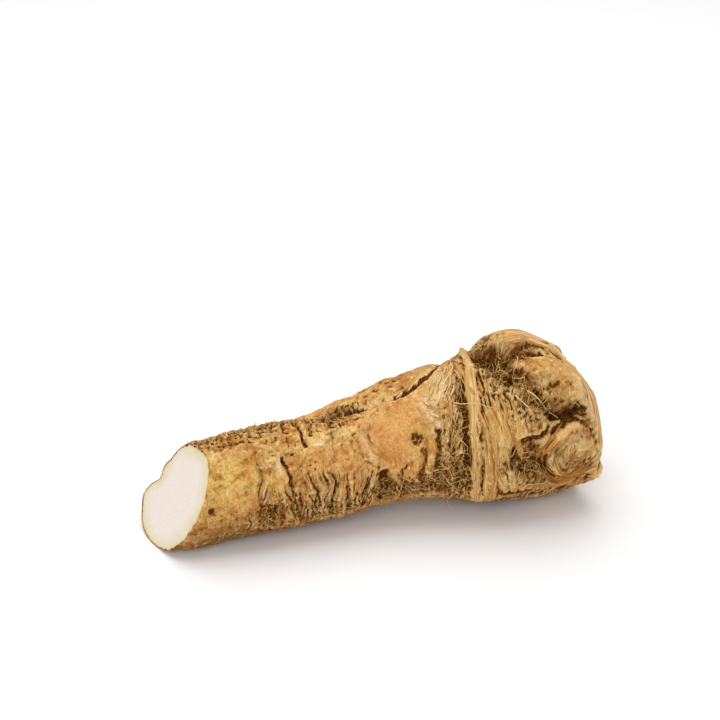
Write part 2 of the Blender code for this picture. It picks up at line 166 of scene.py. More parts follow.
# The cap of old leaf bases: turn of its middle, where it comes in, and how much calmer the skin is on it
CAP_TURN, CAP_FROM, CAP_FULL = 184, 54.0, 60.0
CAP_CALM = 0.7

# Unevenness of the skin, and how much calmer it is below
LUMP_SIZE, LUMP_HEIGHT = 15.0, 1.6
KNOT_SIZE, KNOT_HEIGHT = 6.0, 2.0
WANDER_SIZE = 17.0
UNDERSIDE_CALM, UNDERSIDE_HALF = 0.75, 32.0
MEAN_RADIUS = 22.0

# The grid of rays: they stay square to the axis up to FAN_X, the last FAN_SHARE of the rows turns along it,
# and the first SHEAR_SHARE leans with the cut
ROWS, COLUMNS = 420, 234
FAN_X, FAN_SHARE = 70.0, 0.24
SHEAR_SHARE = 0.35
REACH, COARSE_STEPS, FINE_STEPS = 60.0, 60, 16

# Zones of the skin: x and turn of the middle, half width along x, half width in degrees, how strong
ZONES = {
    "raw": (
        (50, 188, 4.5, 18, 1), (54.5, 160, 4.6, 12, 1.1), (64, 166, 6, 5, 0.9), (60, 137, 5, 12, 0.9),
        (67, 124, 6, 7, 0.9), (79, 123, 7, 6, 1), (58, 80, 5.5, 13, 0.9), (65, 62, 4, 7, 0.6),
        (35, 150, 1.6, 26, 0.7), (29.5, 125, 3.8, 20, 0.8), (27, 74, 8.5, 17, 1), (-46, 79, 5.5, 12, 0.9),
        (3, 82, 5, 17, 1), (16.4, 128, 1.8, 5, 1), (-70.7, 95, 1.6, 4, 0.8), (12, 72, 6, 12, 0.7),
        (-16, 70, 26, 10, 0.3), (-46, 192, 28, 14, 0.4), (-9, 206, 9, 9, 0.9), (32, 318, 9, 18, 0.8),
        (-22, 315, 10, 17, 0.7), (72, 262, 7, 9, 0.6), (-60, 60, 16, 8, 0.3), (83, 100, 4, 9, 0.35),
    ),
    "fibrous": (
        (50, 120, 10, 110, 0.8), (51.5, 67, 6, 15, -0.9), (50, 290, 10, 80, 0.8), (-14, 74, 40, 19, 1),
        (30, 85, 7, 34, 1), (-46, 192, 32, 16, 0.9), (-12, 204, 16, 12, 0.8), (-10, 310, 44, 34, 0.8),
        (68, 182, 9, 10, 0.4), (58, 187, 4, 8, -0.7), (66, 70, 10, 16, 0.6), (33, 150, 4, 34, 0.55),
        (-22, 108, 16, 14, 0.6), (76, 262, 16, 40, 0.7), (76, 88, 12, 14, 0.35), (68, 128, 12, 14, 0.4),
        (-46, 100, 7, 16, 0.4),
    ),
    "blush": (
        (8, 152, 14, 28, 1), (9, 128, 9, 14, 0.7), (22, 176, 8, 10, 0.6), (-10, 222, 20, 14, 0.4),
        (66, 184, 9, 12, 0.7), (78, 148, 9, 13, 0.5), (-22, 128, 12, 20, 0.6), (-56, 100, 12, 13, 0.6),
        (-10, 96, 16, 15, 0.5), (10, 96, 6, 16, 0.6), (54, 52, 10, 10, 0.9), (76, 52, 10, 9, 0.8),
        (-62, 70, 15, 12, 0.6), (-50, 190, 24, 11, 0.45), (75, 205, 10, 20, 0.6), (-30, 250, 30, 25, 0.5),
        (26, 230, 14, 14, 0.5),
    ),
    "gold": (
        (-62, 126, 16, 30, 1), (-44, 113, 5, 14, 0.9), (-75, 110, 8, 20, 0.8), (17, 148, 6, 12, 0.5),
        (-60, 250, 18, 30, 0.7), (0, 290, 18, 22, 0.6), (76, 92, 9, 16, 0.9), (51.5, 69, 5.5, 14, 1),
        (75, 51, 14, 6, 0.9), (52, 130, 7, 24, 0.5), (-20, 222, 16, 9, 0.6), (59.5, 186, 4, 9, 1),
    ),
    "pale": (
        (32, 171, 6, 13, 1.1), (24, 160, 4.5, 10, 1), (22.8, 146, 1.6, 10, 0.8), (36.5, 161, 1.5, 9, 0.7),
        (-23.5, 151, 2.5, 5, 0.9), (-42.5, 134, 1.6, 11, 0.8), (-6, 148, 2.2, 14, 0.6),
        # painted highlight: the ovals from (82, 166) to (91, 84) lighten the crown's rim, where the light
        # catches it
        (24.6, 132, 1.1, 4, 1), (47, 120, 5, 30, 0.3), (82, 166, 3.4, 9, 0.7), (86, 148, 3.6, 13, 1.1),
        (89, 131, 3.4, 13, 1.1), (90.5, 112, 2.8, 14, 0.7), (91, 84, 2.6, 18, 0.5),
        (80.5, 104, 4, 7, 0.5), (69, 86, 2.2, 10, 0.9), (66, 181, 6, 4, 0.5), (74, 178, 6, 4, 0.5),
        (30, 230, 6, 20, 0.5), (-12, 166, 3, 8, 0.7),
    ),
    "worn": (
        (-42, 131, 1.2, 9, 1), (-23.5, 151, 2.4, 4, 0.9), (-29.2, 108, 0.9, 7, 0.9),
        (-47.6, 104, 1, 9, 0.9), (24.6, 132, 1.1, 4, 1), (-3.5, 128, 1.1, 9, 0.7),
        (22.6, 148, 1.1, 8, 0.8), (-13, 92, 0.9, 7, 0.7), (37, 172, 1.6, 7, 0.8), (81.5, 122, 2, 4, 0.5),
        (84.5, 130, 1.4, 5, 0.8), (-20.5, 92, 0.8, 8, 0.6), (30, 182, 4, 6, 0.5), (-5, 92, 0.9, 8, 0.6),
    ),
    # painted shade: these ovals darken the underside, the crown's bottom edge and some hollows, where shade
    # falls
    "painted_shade": (
        (-48, 192, 30, 14, 0.45), (0, 12, 95, 31, 1.25), (68, 36, 26, 8, 1.1), (58, 80, 8, 16, 0.6),
        (63, 140, 9, 14, 0.5), (74, 118, 10, 7, 0.2), (-14, 196, 12, 12, 0.6), (80, 270, 14, 30, 0.5),
        (28, 120, 4, 22, 0.6), (-66, 66, 18, 18, 0.6), (26, 222, 14, 12, 0.5), (-66, 44, 30, 18, 0.9),
        (-76, 250, 9, 60, 0.9), (62, 170, 9, 4, 0.9), (-14, 70, 40, 14, 0.5), (27, 74, 9, 15, 0.8),
        (-46, 78, 6, 11, 0.7), (52, 176, 4, 15, 0.8), (35.5, 125, 1.6, 36, 0.6), (3, 80, 5, 15, 0.8),
    ),
}

# Creases darkened with painted shade and earth: x and turn of one end, x and turn of the other, half width,
# how dark
CREASE_SHADE_AND_EARTH = (
    (-8, 208, 6, 206, 1.8, 0.8), (6, 206, 20, 198, 2.1, 1.1), (20, 198, 28, 200, 2.2, 1.2),
    (28, 200, 37, 216, 2.4, 1.2), (57, 146, 66, 125, 1.5, 0.7), (66, 125, 80, 121, 1.5, 0.25),
    (36.5, 175, 35.2, 140, 1, 0.8), (35.2, 140, 33.6, 90, 1, 0.6), (51.3, 84, 53, 96, 1, 0.5),
    (53, 96, 58, 102, 1, 0.5), (58, 102, 67, 108, 1, 0.5), (48, 63, 62, 50, 1.1, 1),
    (62, 50, 90, 44, 1, 0.7), (58, 168, 73, 168, 1, 0.8),
)

# How much less painted shade the clean patches get in their hollows
CLEAN_SHARE = 0.4

# Hollows and ridges of the skin: over how many points of the grid the skin is averaged, near and wide, and
# how much of each difference tells. The deeper a hollow, the more painted shade darkens its colour.
AVERAGED = (1, 9)
HOLLOW_NEAR, HOLLOW_WIDE, HOLLOW_RAW = 3.2, 0.4, 0.3
RIDGE_NEAR, RIDGE_WIDE = 2.6, 0.3

# Fibres: height, size across, and how many times longer they are
FIBRE_HEIGHT, FIBRE_ACROSS, FIBRE_STRETCH = 0.32, 1.4, 9.0

# How much longer still the fibres of the neck are, as a share taken off their coordinate
NECK_CALM = 0.72

# How much straighter than the other marks the neck's threads run
NECK_STRAIGHT = 0.75

# Cracks along the grain: how far apart, depth, half width, and the noise's seed
CRACKS = ((3.3, 1.1, 0.42, 31), (1.9, 0.6, 0.32, 35))

# Raw tissue's ridges and the skin's grit: size, height, and the noise's seed
RAW_RIDGES = ((3.0, 1.5, 25), (1.4, 0.8, 26))
GRIT = ((4.0, 0.5, 27), (1.9, 0.34, 28), (1.1, 0.22, 29))

# How far noise pushes the marks about: its size, how far, and its seed
WARPS = ((7.0, 1.1, 101), (2.4, 0.4, 111))


def track(x, stations, column):
    """A smooth line through one column of stations: a cubic between neighbours, with shared slopes."""
    xs, ys = stations[:, 0], stations[:, column]
    slope = np.gradient(ys, xs)
    i = np.clip(np.searchsorted(xs, x) - 1, 0, len(xs) - 2)
    gap = xs[i + 1] - xs[i]
    t = np.clip((x - xs[i]) / gap, 0.0, 1.0)
    start = (2 * t**3 - 3 * t**2 + 1) * ys[i] + (t**3 - 2 * t**2 + t) * gap * slope[i]
    end = (3 * t**2 - 2 * t**3) * ys[i + 1] + (t**3 - t**2) * gap * slope[i + 1]
    return start + end


def ramp(x, start, end):
    """0 at start, 1 at end, eased at both."""
    t = np.clip((x - start) / (end - start), 0.0, 1.0)
    return t * t * (3 - 2 * t)


def bell(turn, middle, width):
    """A bump of height 1 round the axis, by turn in degrees."""
    away = (turn - middle + 180.0) % 360.0 - 180.0
    return np.exp(-((away / width) ** 2))


def soft_min(a, b, width):
    """The lesser of two fields, rounded where they cross."""
    share = np.clip(0.5 + 0.5 * (b - a) / width, 0.0, 1.0)
    return b + (a - b) * share - width * share * (1.0 - share)


def soft_max(a, b, width):
    return -soft_min(-a, -b, width)


def value_noise(points, seed):
    """Smooth noise from 0 to 1: a hashed value at each corner of a unit lattice, eased between them."""
    cell = np.floor(points).astype(np.int64)
    part = points - cell
    part = part * part * part * (part * (part * 6 - 15) + 10)
    total = 0.0
    for corner in np.ndindex(2, 2, 2):
        at = cell + np.array(corner)
        mixed = (at[..., 0] * 73856093) ^ (at[..., 1] * 19349663) ^ (at[..., 2] * 83492791) ^ (seed * 97531)
        mixed = (mixed ^ (mixed >> 13)) * 1274126177
        value = ((mixed ^ (mixed >> 16)) & 0xFFFF) / 65535.0
        weight = np.where(corner, part, 1.0 - part).prod(-1)
        total = total + weight * value
    return total


def polar(points):
    """Turn round the axis in degrees: 0 below, 90 at the front (-Y), 180 on top, 270 behind."""
    y = points[..., 1] - track(points[..., 0], SHANK, 1)
    z = points[..., 2] - track(points[..., 0], SHANK, 2)
    return np.degrees(np.arctan2(-y, -z)) % 360.0, y, z


def shank_field(points):
    """Negative inside the shank and the crown's core: elliptic sections, lobed near the cut."""
    x = points[..., 0]
    turn, y, z = polar(points)
    half_width, half_height = track(x, SHANK, 3), track(x, SHANK, 4)
    lobes = sum(share * bell(turn, middle, width) for middle, width, share in CUT_LOBES)
    reach = 1.0 + ramp(x, CUT_LOBES_FROM, CUT_LOBES_FULL) * lobes
    side = (np.hypot(y / half_width, z / half_height) / reach - 1.0) * np.minimum(half_width, half_height)
    return soft_max(side, x - CROWN_END, CROWN_END_ROUND)


def tube_field(points, stations, width):
    """Negative inside a tube of changing radius along a row of points."""
    stations = np.array(stations)
    field = None
    for a, b in zip(stations[:-1], stations[1:]):
        along = b[:3] - a[:3]
        t = np.clip(((points - a[:3]) @ along) / (along @ along), 0.0, 1.0)
        away = np.linalg.norm(points - a[:3] - t[..., None] * along, axis=-1)
        piece = away - (a[3] + (b[3] - a[3]) * t)
        field = piece if field is None else soft_min(field, piece, width)
    return field


def body_field(points):
    """Negative inside the root, before its relief."""
    field = shank_field(points)
    field = soft_max(field, (points - SLOPE_AT) @ SLOPE_OUT, SLOPE_ROUND)
    field = soft_min(field, tube_field(points, CAP_LIP, 2.0), 1.5)
    field = soft_min(field, tube_field(points, SIDE_ROOT, 2.0), 1.2)
    return field


def ray_grid(rows, columns):
    """Starts and directions of the rays: rows along the axis, columns round it."""
    s = np.linspace(0.0, 1.0, rows)[:, None]
    around = np.linspace(0.0, 2 * np.pi, columns, endpoint=False)[None, :]
    x = CUT_X + (FAN_X - CUT_X) * np.clip(s / (1 - FAN_SHARE), 0, 1) + 0 * around
    fan = np.clip((s - (1 - FAN_SHARE)) / FAN_SHARE, 0, 1) * (np.pi / 2)
    shear = np.clip(1 - s / SHEAR_SHARE, 0, 1)
    side, up = -np.sin(around), -np.cos(around)
    start = np.stack([x, track(x, SHANK, 1), track(x, SHANK, 2)], -1)
    direction = np.stack([
        np.sin(fan) + shear * (CUT_BACK * side + CUT_LEAN * up),
        side * np.cos(fan),
        up * np.cos(fan),
    ], -1)
    return start, direction


def ray_lengths(start, direction):
    """How far along each ray the body ends: coarse steps out to the last point inside, then halving."""
    step = REACH / COARSE_STEPS
    inner = np.zeros(start.shape[:2])
    for t in np.linspace(0.0, REACH, COARSE_STEPS + 1):
        inside = body_field(start + direction * t) < 0
        inner = np.where(inside & (inner >= t - 1.5 * step), t, inner)
    outer = inner + step
    for _ in range(FINE_STEPS):
        middle = (inner + outer) / 2
        inside = body_field(start + direction * middle[..., None]) < 0
        inner, outer = np.where(inside, middle, inner), np.where(inside, outer, middle)
    return (inner + outer) / 2


def stroke(x, turn, stroke_from, stroke_to, half_width):
    """1 along a line on the skin, fading to each side; the skin is taken as unrolled at its mean radius."""
    degree = np.radians(1.0) * MEAN_RADIUS
    ax, at = stroke_from
    bx, bt = stroke_to
    along = np.array([bx - ax, (bt - at) * degree])
    here = np.stack([x - ax, ((turn - at + 180.0) % 360.0 - 180.0) * degree], -1)
    t = np.clip((here @ along) / (along @ along), 0.0, 1.0)
    away = np.linalg.norm(here - t[..., None] * along, axis=-1)
    return np.exp(-((away / half_width) ** 2))


def mark(points, stations, half_width, sharpness):
    """1 along a row of points in space, fading to the sides; a higher sharpness gives steeper edges."""
    away = None
    for a, b in zip(stations[:-1], stations[1:]):
        a, along = np.array(a), np.array(b) - np.array(a)
        t = np.clip(((points - a) @ along) / (along @ along), 0.0, 1.0)
        piece = np.linalg.norm(points - a - t[..., None] * along, axis=-1)
        away = piece if away is None else np.minimum(away, piece)
    return np.exp(-((away / half_width) ** sharpness))


def bands(points, x, spacing, seed):
    """Rounded bands with narrow cracks between, from -1 to 1; noise makes each one higher or lower."""
    phase = x / spacing
    across = 2 * np.abs(phase - np.floor(phase) - 0.5)
    where = np.stack([np.floor(phase) * 1.7, points[..., 1] / 30.0, points[..., 2] / 30.0], -1)
    return (1.0 - across**4) * (0.45 + 1.1 * value_noise(where, seed)) - 0.6


def buds(points):
    """Domes with a groove round them and faint rings inside."""
    height = 0.0
    for x, z, half_x, half_z, facing, ring in BUDS:
        rho = np.hypot((points[..., 0] - x) / half_x, (points[..., 2] - z) / half_z)
        front = ramp(points[..., 1] * facing, BUD_SIDE_FROM, BUD_SIDE_FULL)
        dome = BUD_DOME * np.clip(1 - rho**2, 0, 1)
        groove = BUD_GROOVE * np.exp(-(((rho - BUD_GROOVE_AT) / BUD_GROOVE_WIDTH) ** 2))
        rings = BUD_RINGS * np.sin(2 * np.pi * rho / ring) * ramp(rho, 0.35, 0.7) * ramp(rho, 1.25, 0.95)
        height = height + front * (dome + (groove + rings) * ramp(points[..., 0], x + 8.0, x - 2.0))
    return height


def relief(points):
    """Height of the skin over the body, in millimetres."""
    x = points[..., 0]
    turn, y, z = polar(points)
    away = np.hypot(y, z)
    wander = value_noise(points / WANDER_SIZE, 3) - 0.5
    lumps = LUMP_HEIGHT * (value_noise(points / LUMP_SIZE, 5) - 0.5)
    knots = KNOT_HEIGHT * (value_noise(points / KNOT_SIZE, 9) - 0.5) * ramp(x, 52.0, 60.0)
    low_front, back = bell(turn, 74, 30) * ramp(x, -62.0, -40.0), bell(turn, 300, 50)
    along_top = bell(turn, 195, 26) * ramp(x, 0.0, -20.0)
    rough = np.clip(0.12 * ramp(x, -60.0, -40.0) + low_front + along_top + 0.8 * back, 0, 1)
    rings = RING_HEIGHT * rough * bands(points, x + RING_WANDER * wander, RING_SPACING, 7)
    lean = STRIA_LEAN * (turn - 90.0) * (turn < 200)
    striae = STRIA_HEIGHT * bands(points, x + STRIA_WANDER * wander + lean, STRIA_SPACING, 11)
    end_rings = END_RING_HEIGHT * np.sin(2 * np.pi * (away + 5.0 * wander) / END_RING_SPACING) / 2
    on_shank, on_end = ramp(x, 41.0, 35.0), ramp(x, END_FROM, END_FULL)
    on_neck = (1 - on_shank) * ramp(x, 66.0, 56.0)
    on_cap = bell(turn, CAP_TURN, 30) * ramp(x, CAP_FROM, CAP_FULL)
    height = lumps + knots * (1 - on_end) * (1 - CAP_CALM * on_cap) + rings * on_shank
    height = height + striae * on_neck * (1 - on_cap) + end_rings * on_end
    height = height + buds(points)
    for ax, at, bx, bt, half_width, rise in STROKES:
        height = height + rise * stroke(x, turn, (ax, at), (bx, bt), half_width)
    for sx, middle, half_x, half_turn, rise in SCARS:
        height = height + rise * np.exp(-(((x - sx) / half_x) ** 2)) * bell(turn, middle, half_turn)
    for rise, half_width, sharpness, stations in CROWN_MARKS.values():
        height = height + rise * mark(points, stations, half_width, sharpness)
    strap_x = np.interp(turn, STRAP[:, 0], STRAP[:, 1])
    first, last = STRAP[0, 0], STRAP[-1, 0]
    ends = ramp(turn, first, first + STRAP_TAPER) * ramp(turn, last, last - STRAP_TAPER)
    height = height * (1 - UNDERSIDE_CALM * bell(turn, 0, UNDERSIDE_HALF))
    return height + STRAP_HEIGHT * ends * np.exp(-(((x - strap_x) / STRAP_HALF) ** 4))


def zone(points, name):
    """How strongly a point lies in a named zone, from 0 to 1: a sum of soft ovals on the unrolled skin."""
    x = points[..., 0]
    turn = polar(points)[0]
    total = sum(
        amount * np.exp(-(((x - at_x) / half_x) ** 2)) * bell(turn, at_turn, half_turn)
        for at_x, at_turn, half_x, half_turn, amount in ZONES[name]
    )
    return np.clip(total, 0.0, 1.0)


def warp(points):
    """Points pushed about by noise of two sizes, so that whatever is read at them gets ragged edges."""
    pushed = points
    for size, amount, seed in WARPS:
        push = np.stack([value_noise(points / size + 5.5 * k, seed + k) for k in range(3)], -1)
        pushed = pushed + amount * (2 * push - 1)
    return pushed


def grain(points):
    """Coordinates that are drawn out along the root's fibres, so that noise read there gives threads.

    They run round the root on the shank and the neck, along it on the cap of old leaf bases, round each bud
    on the crown, and round the axis on the end.
    """
    x = points[..., 0]
    turn, y, z = polar(points)
    away = np.hypot(y, z)
    wander = value_noise(points / WANDER_SIZE, 3) - 0.5
    lean = STRIA_LEAN * (turn - 90.0) * (turn < 200) * ramp(x, 35.0, 41.0)
    along = points[..., 1:] / FIBRE_STRETCH
    along = along * (1 - NECK_CALM * ramp(x, 38.0, 44.0) * ramp(x, 66.0, 60.0))[..., None]
    made = np.concatenate([(x + RING_WANDER * wander + lean)[..., None], along], -1)
    capped = np.stack([np.radians(turn) * 34.0 + 4 * wander, x / FIBRE_STRETCH, away / 3.0], -1)
    made = made + (capped - made) * (bell(turn, CAP_TURN, 34) * ramp(x, CAP_FROM, CAP_FULL))[..., None]
    on_end = ramp(x, END_FROM, END_FULL)[..., None]
    made = made + (np.concatenate([(away + 5 * wander)[..., None], along], -1) - made) * on_end
    for at_x, at_z, half_x, half_z, facing, _ in BUDS:
        rho = np.hypot((x - at_x) / half_x, (points[..., 2] - at_z) / half_z)
        there = ramp(points[..., 1] * facing, BUD_SIDE_FROM, BUD_SIDE_FULL)
        there = there * ramp(rho, 1.5, 1.15) * ramp(rho, 0.3, 0.7)
        rings = np.concatenate([(13 * rho + 6 * wander)[..., None], along], -1)
        made = made + (rings - made) * there[..., None]
    raw = zone(points, "raw")[..., None]
    return made + (points * 0.8 - made) * 0.45 * raw


def cracks(threads, spacing, half_width, seed):
    """Narrow cracks along the grain with a low lip at each side, 1 in their middle.

    They lie about a spacing apart across the grain. Noise bends each a little, and makes it start and stop.
    """
    bend = value_noise(threads * [0.45 / spacing, 1.4, 1.4], seed) - 0.5
    phase = threads[..., 0] / spacing + 0.9 * bend
    number = np.round(phase)
    away = np.abs(phase - number) * spacing / half_width
    own = value_noise(np.stack([number * 1.7, threads[..., 1] * 1.7, threads[..., 2] * 1.7], -1), seed + 1)
    return ramp(own, 0.40, 0.66) * (np.exp(-(away**2)) - 0.3 * np.exp(-((away - 2.2) ** 2)))


def fine_relief(points, threads):
    """Threads and cracks along the grain, raw tissue, pores and grit, in millimetres."""
    raw, fibrous = zone(points, "raw"), zone(points, "fibrous")
    smooth = np.clip(zone(points, "gold") + zone(points, "blush") + zone(points, "pale"), 0, 1) * (1 - raw)
    cap = bell(polar(points)[0], CAP_TURN, 34) * ramp(points[..., 0], CAP_FROM, CAP_FULL)
    fibres = FIBRE_HEIGHT * (2 * value_noise(threads / [FIBRE_ACROSS, 1.0, 1.0], 21) - 1)
    height = fibres * (0.25 + 0.75 * fibrous)
    for spacing, depth, half_width, seed in CRACKS:
        height = height - depth * cracks(threads, spacing, half_width, seed) * fibrous * (1 - cap)
    for size, rise, seed in RAW_RIDGES:
        height = height + raw * rise * (0.5 - np.abs(2 * value_noise(points / size, seed) - 1))
    for size, rise, seed in GRIT:
        grains = rise * (2 * value_noise(points / size, seed) - 1)
        height = height + grains * (1 - 0.65 * smooth) * (1 - 0.5 * cap)
    return height


def smoothed(values, reach):
    """Each value averaged with its neighbours on the grid, round the root without a seam."""
    total = sum(np.roll(values, k, 1) for k in range(-reach, reach + 1)) / (2 * reach + 1)
    padded = np.pad(total, ((reach, reach), (0, 0)), mode="edge")
    return sum(padded[k:k + len(values)] for k in range(2 * reach + 1)) / (2 * reach + 1)


def unit(vectors):
    return vectors / np.maximum(np.linalg.norm(vectors, axis=-1, keepdims=True), 1e-9)


def across_grid(points):
    """Steps between neighbours on the grid: along the root, and round it."""
    return np.gradient(points, axis=0), (np.roll(points, -1, 1) - np.roll(points, 1, 1)) / 2


def grow_skin():
    """The skin on its grid: points in the frame, normals, and the values that its finish reads."""
    start, direction = ray_grid(ROWS, COLUMNS)
    length = ray_lengths(start, direction)
    body = start + direction * length[..., None]
    ragged = warp(body)
    on_neck = (ramp(body[..., 0], 37.0, 41.0) * ramp(body[..., 0], 68.0, 62.0))[..., None]
    threads = grain(ragged + (body - ragged) * NECK_STRAIGHT * on_neck)
    below = bell(polar(body)[0], 0, UNDERSIDE_HALF)
    height = relief(ragged) + fine_relief(ragged, threads) * (1 - UNDERSIDE_CALM * below)
    points = start + direction * (length + height)[..., None] + FORMULA_AT
    points[..., 2] = np.maximum(points[..., 2], 0.0)
    along, around = across_grid(points)
    near, wide = (smoothed(smoothed(height, reach), reach) - height for reach in AVERAGED)
    values = {name: zone(ragged, name) for name in ZONES}
    turn = polar(ragged)[0]
    # painted shade: creases, hollows and raw tissue darken the colour, less on the clean patches; earth sits
    # in the creases too
    shade_and_earth = sum(dark * stroke(ragged[..., 0], turn, (ax, at), (bx, bt), half_width)
                for ax, at, bx, bt, half_width, dark in CREASE_SHADE_AND_EARTH)
    clean = np.clip(values["gold"] + values["blush"] + values["pale"], 0.0, 1.0) * (1 - values["raw"])
    hollow = HOLLOW_NEAR * near + HOLLOW_WIDE * wide + HOLLOW_RAW * values["raw"]
    values["hollow"] = np.clip(hollow * (1 - CLEAN_SHARE * clean) + shade_and_earth, 0.0, 1.0)
    values["ridge"] = np.clip(-RIDGE_NEAR * near - RIDGE_WIDE * wide, 0.0, 1.0)
    return {
        "points": points, "normals": unit(np.cross(along, around)), "grain": threads, "values": values,
        "row_mm": np.linalg.norm(along, axis=-1), "column_mm": np.linalg.norm(around, axis=-1),
    }


def calmed(skin, reach):
    """The skin with its small bumps averaged away, for what lies over them."""
    points = np.stack([smoothed(skin["points"][..., k], reach) for k in range(3)], -1)
    along, around = across_grid(points)
    return {**skin, "points": points, "normals": unit(np.cross(along, around))}


def sample(field, row, column):
    """A field of the skin's grid read between its rows and columns."""
    row = np.clip(row, 0, ROWS - 1.001)
    i, j = np.floor(row).astype(int), np.floor(column).astype(int)
    u, v = row - i, column - np.floor(column)
    if field.ndim == 3:
        u, v = u[..., None], v[..., None]
    j, k = j % COLUMNS, (j + 1) % COLUMNS
    near = field[i, j] * (1 - v) + field[i, k] * v
    far = field[i + 1, j] * (1 - v) + field[i + 1, k] * v
    return near * (1 - u) + far * u


def on_grid(skin, x, turn):
    """The row and column under an x and a turn: the row is put right by how far its x is off, a few times."""
    column = np.asarray(turn) / 360.0 * COLUMNS
    per_mm = (1 - FAN_SHARE) * (ROWS - 1) / (FAN_X - CUT_X)
    row = (np.asarray(x) - CUT_X) * per_mm
    for _ in range(8):
        off = x - (sample(skin["points"], row, column)[..., 0] - FORMULA_AT[0])
        row = np.clip(row + off * per_mm, 0, ROWS - 2)
    return row, column


def closed_tubes(name, loops, starts, ends, values):
    """Tubes of any section: loops is (count, rows, sides, 3), and a point at either end closes each tube.

    Quads join each loop to the next, and fans close the ends, all facing out when the sides run anticlockwise
    seen from the far end. Each of the values becomes an attribute: a number or a vector at every point.
    """
    count, rows, sides = loops.shape[:3]
    per = rows * sides + 2
    vertices = np.concatenate([loops.reshape(count, -1, 3), starts[:, None], ends[:, None]], 1)
    i, j = np.meshgrid(np.arange(rows - 1), np.arange(sides), indexing="ij")
    k = (j + 1) % sides
    quads = np.stack([i * sides + j, (i + 1) * sides + j, (i + 1) * sides + k, i * sides + k], -1)
    side = np.arange(sides)
    after = (side + 1) % sides
    last = (rows - 1) * sides
    fans = np.concatenate([
        np.stack([side, after, np.full(sides, per - 2)], -1),
        np.stack([last + after, last + side, np.full(sides, per - 1)], -1),
    ])
    shift = (np.arange(count) * per)[:, None, None]
    faces = (quads.reshape(-1, 4) + shift).reshape(-1, 4).tolist() + (fans + shift).reshape(-1, 3).tolist()
    mesh = bpy.data.meshes.new(name)
    mesh.from_pydata(vertices.reshape(-1, 3) * MM, [], faces)
    mesh.shade_smooth()
    for key, grid in values.items():
        flat = grid.reshape(count, rows * sides, -1)
        flat = np.concatenate([flat, flat[:, :1], flat[:, -1:]], 1)
        kind, field = ("FLOAT_VECTOR", "vector") if flat.shape[-1] == 3 else ("FLOAT", "value")
        mesh.attributes.new(key, kind, "POINT").data.foreach_set(field, flat.ravel())
    made = bpy.data.objects.new(name, mesh)
    bpy.context.scene.collection.objects.link(made)
    return made


# The way that the cut faces, how far the skin turns in at the cut, and how far its wall goes down behind
CUT_OUTWARD = unit(np.array([-1.0, CUT_BACK, CUT_LEAN]))
CUT_LIP, CUT_RECESS = 0.38, 0.6
LIP_SINK, WALL_INWARD = 0.05, 1.2


def make_skin(skin):
    """The skin as one closed tube, from a sunk wall and narrow lip at the cut to a pole at the far end."""
    points = skin["points"]
    rim, middle = points[0], points[0].mean(0)
    inward = unit(middle - rim) * CUT_LIP
    lip = rim + inward - CUT_OUTWARD * LIP_SINK
    wall = rim + inward * WALL_INWARD - CUT_OUTWARD * CUT_RECESS
    loops = np.concatenate([wall[None], lip[None], points[:-1]])
    values = {
        key: np.concatenate([grid[:1], grid[:1], grid[:-1]])[None]
        for key, grid in {**skin["values"], "grain": skin["grain"]}.items()
    }
    start = middle - CUT_OUTWARD * CUT_RECESS
    return closed_tubes("corky_skin", loops[None], start[None], points[-1].mean(0)[None], values)


# The flesh: how far it bulges, how thick it is, how many rings, and where its edge dips and by how much
FLESH_BULGE, FLESH_BACK, FLESH_RINGS = 0.35, 1.6, 44
FLESH_EDGE_FROM, FLESH_DIP = 0.93, 0.3

# The flesh's unevenness: size, height, and the noise's seed
FLESH_WAVES = ((5.0, 0.16, 31), (1.3, 0.05, 33))


def make_cut_face(skin):
    """The cut face as a thin lens: rings go from its middle out to just inside the skin, and back behind."""
    rim, middle = skin["points"][0], skin["points"][0].mean(0)
    reach = np.linalg.norm(rim - middle, axis=-1)
    edge = rim + unit(middle - rim) * (CUT_LIP - 0.03)
    share = np.sin(np.linspace(0.02, 1.0, FLESH_RINGS) * np.pi / 2)[:, None, None]
    front = middle + (edge - middle) * share
    lift = FLESH_BULGE * (1 - share[..., 0] ** 2)
    lift = lift - FLESH_DIP * ramp(share[..., 0], FLESH_EDGE_FROM, 1.0) ** 2
    for size, height, seed in FLESH_WAVES:
        lift = lift + height * (value_noise(front / size, seed) - 0.5)
    front = front + CUT_OUTWARD * lift[..., None]
    back = (middle + (edge - middle) * share[::-1] * 0.97) - CUT_OUTWARD * FLESH_BACK
    depth = (1 - share[..., 0]) * reach
    loops, depths = np.concatenate([front, back]), np.concatenate([depth, np.flip(depth, 0)])
    starts, ends = middle + CUT_OUTWARD * FLESH_BULGE, middle - CUT_OUTWARD * FLESH_BACK
    return closed_tubes("cut_face", loops[None], starts[None], ends[None], {"depth": depths[None]})


# How many times longer than wide the threads of a strip are, and how its width fades at the ends
STRIP_STRETCH, STRIP_FADE = 24.0, 0.45


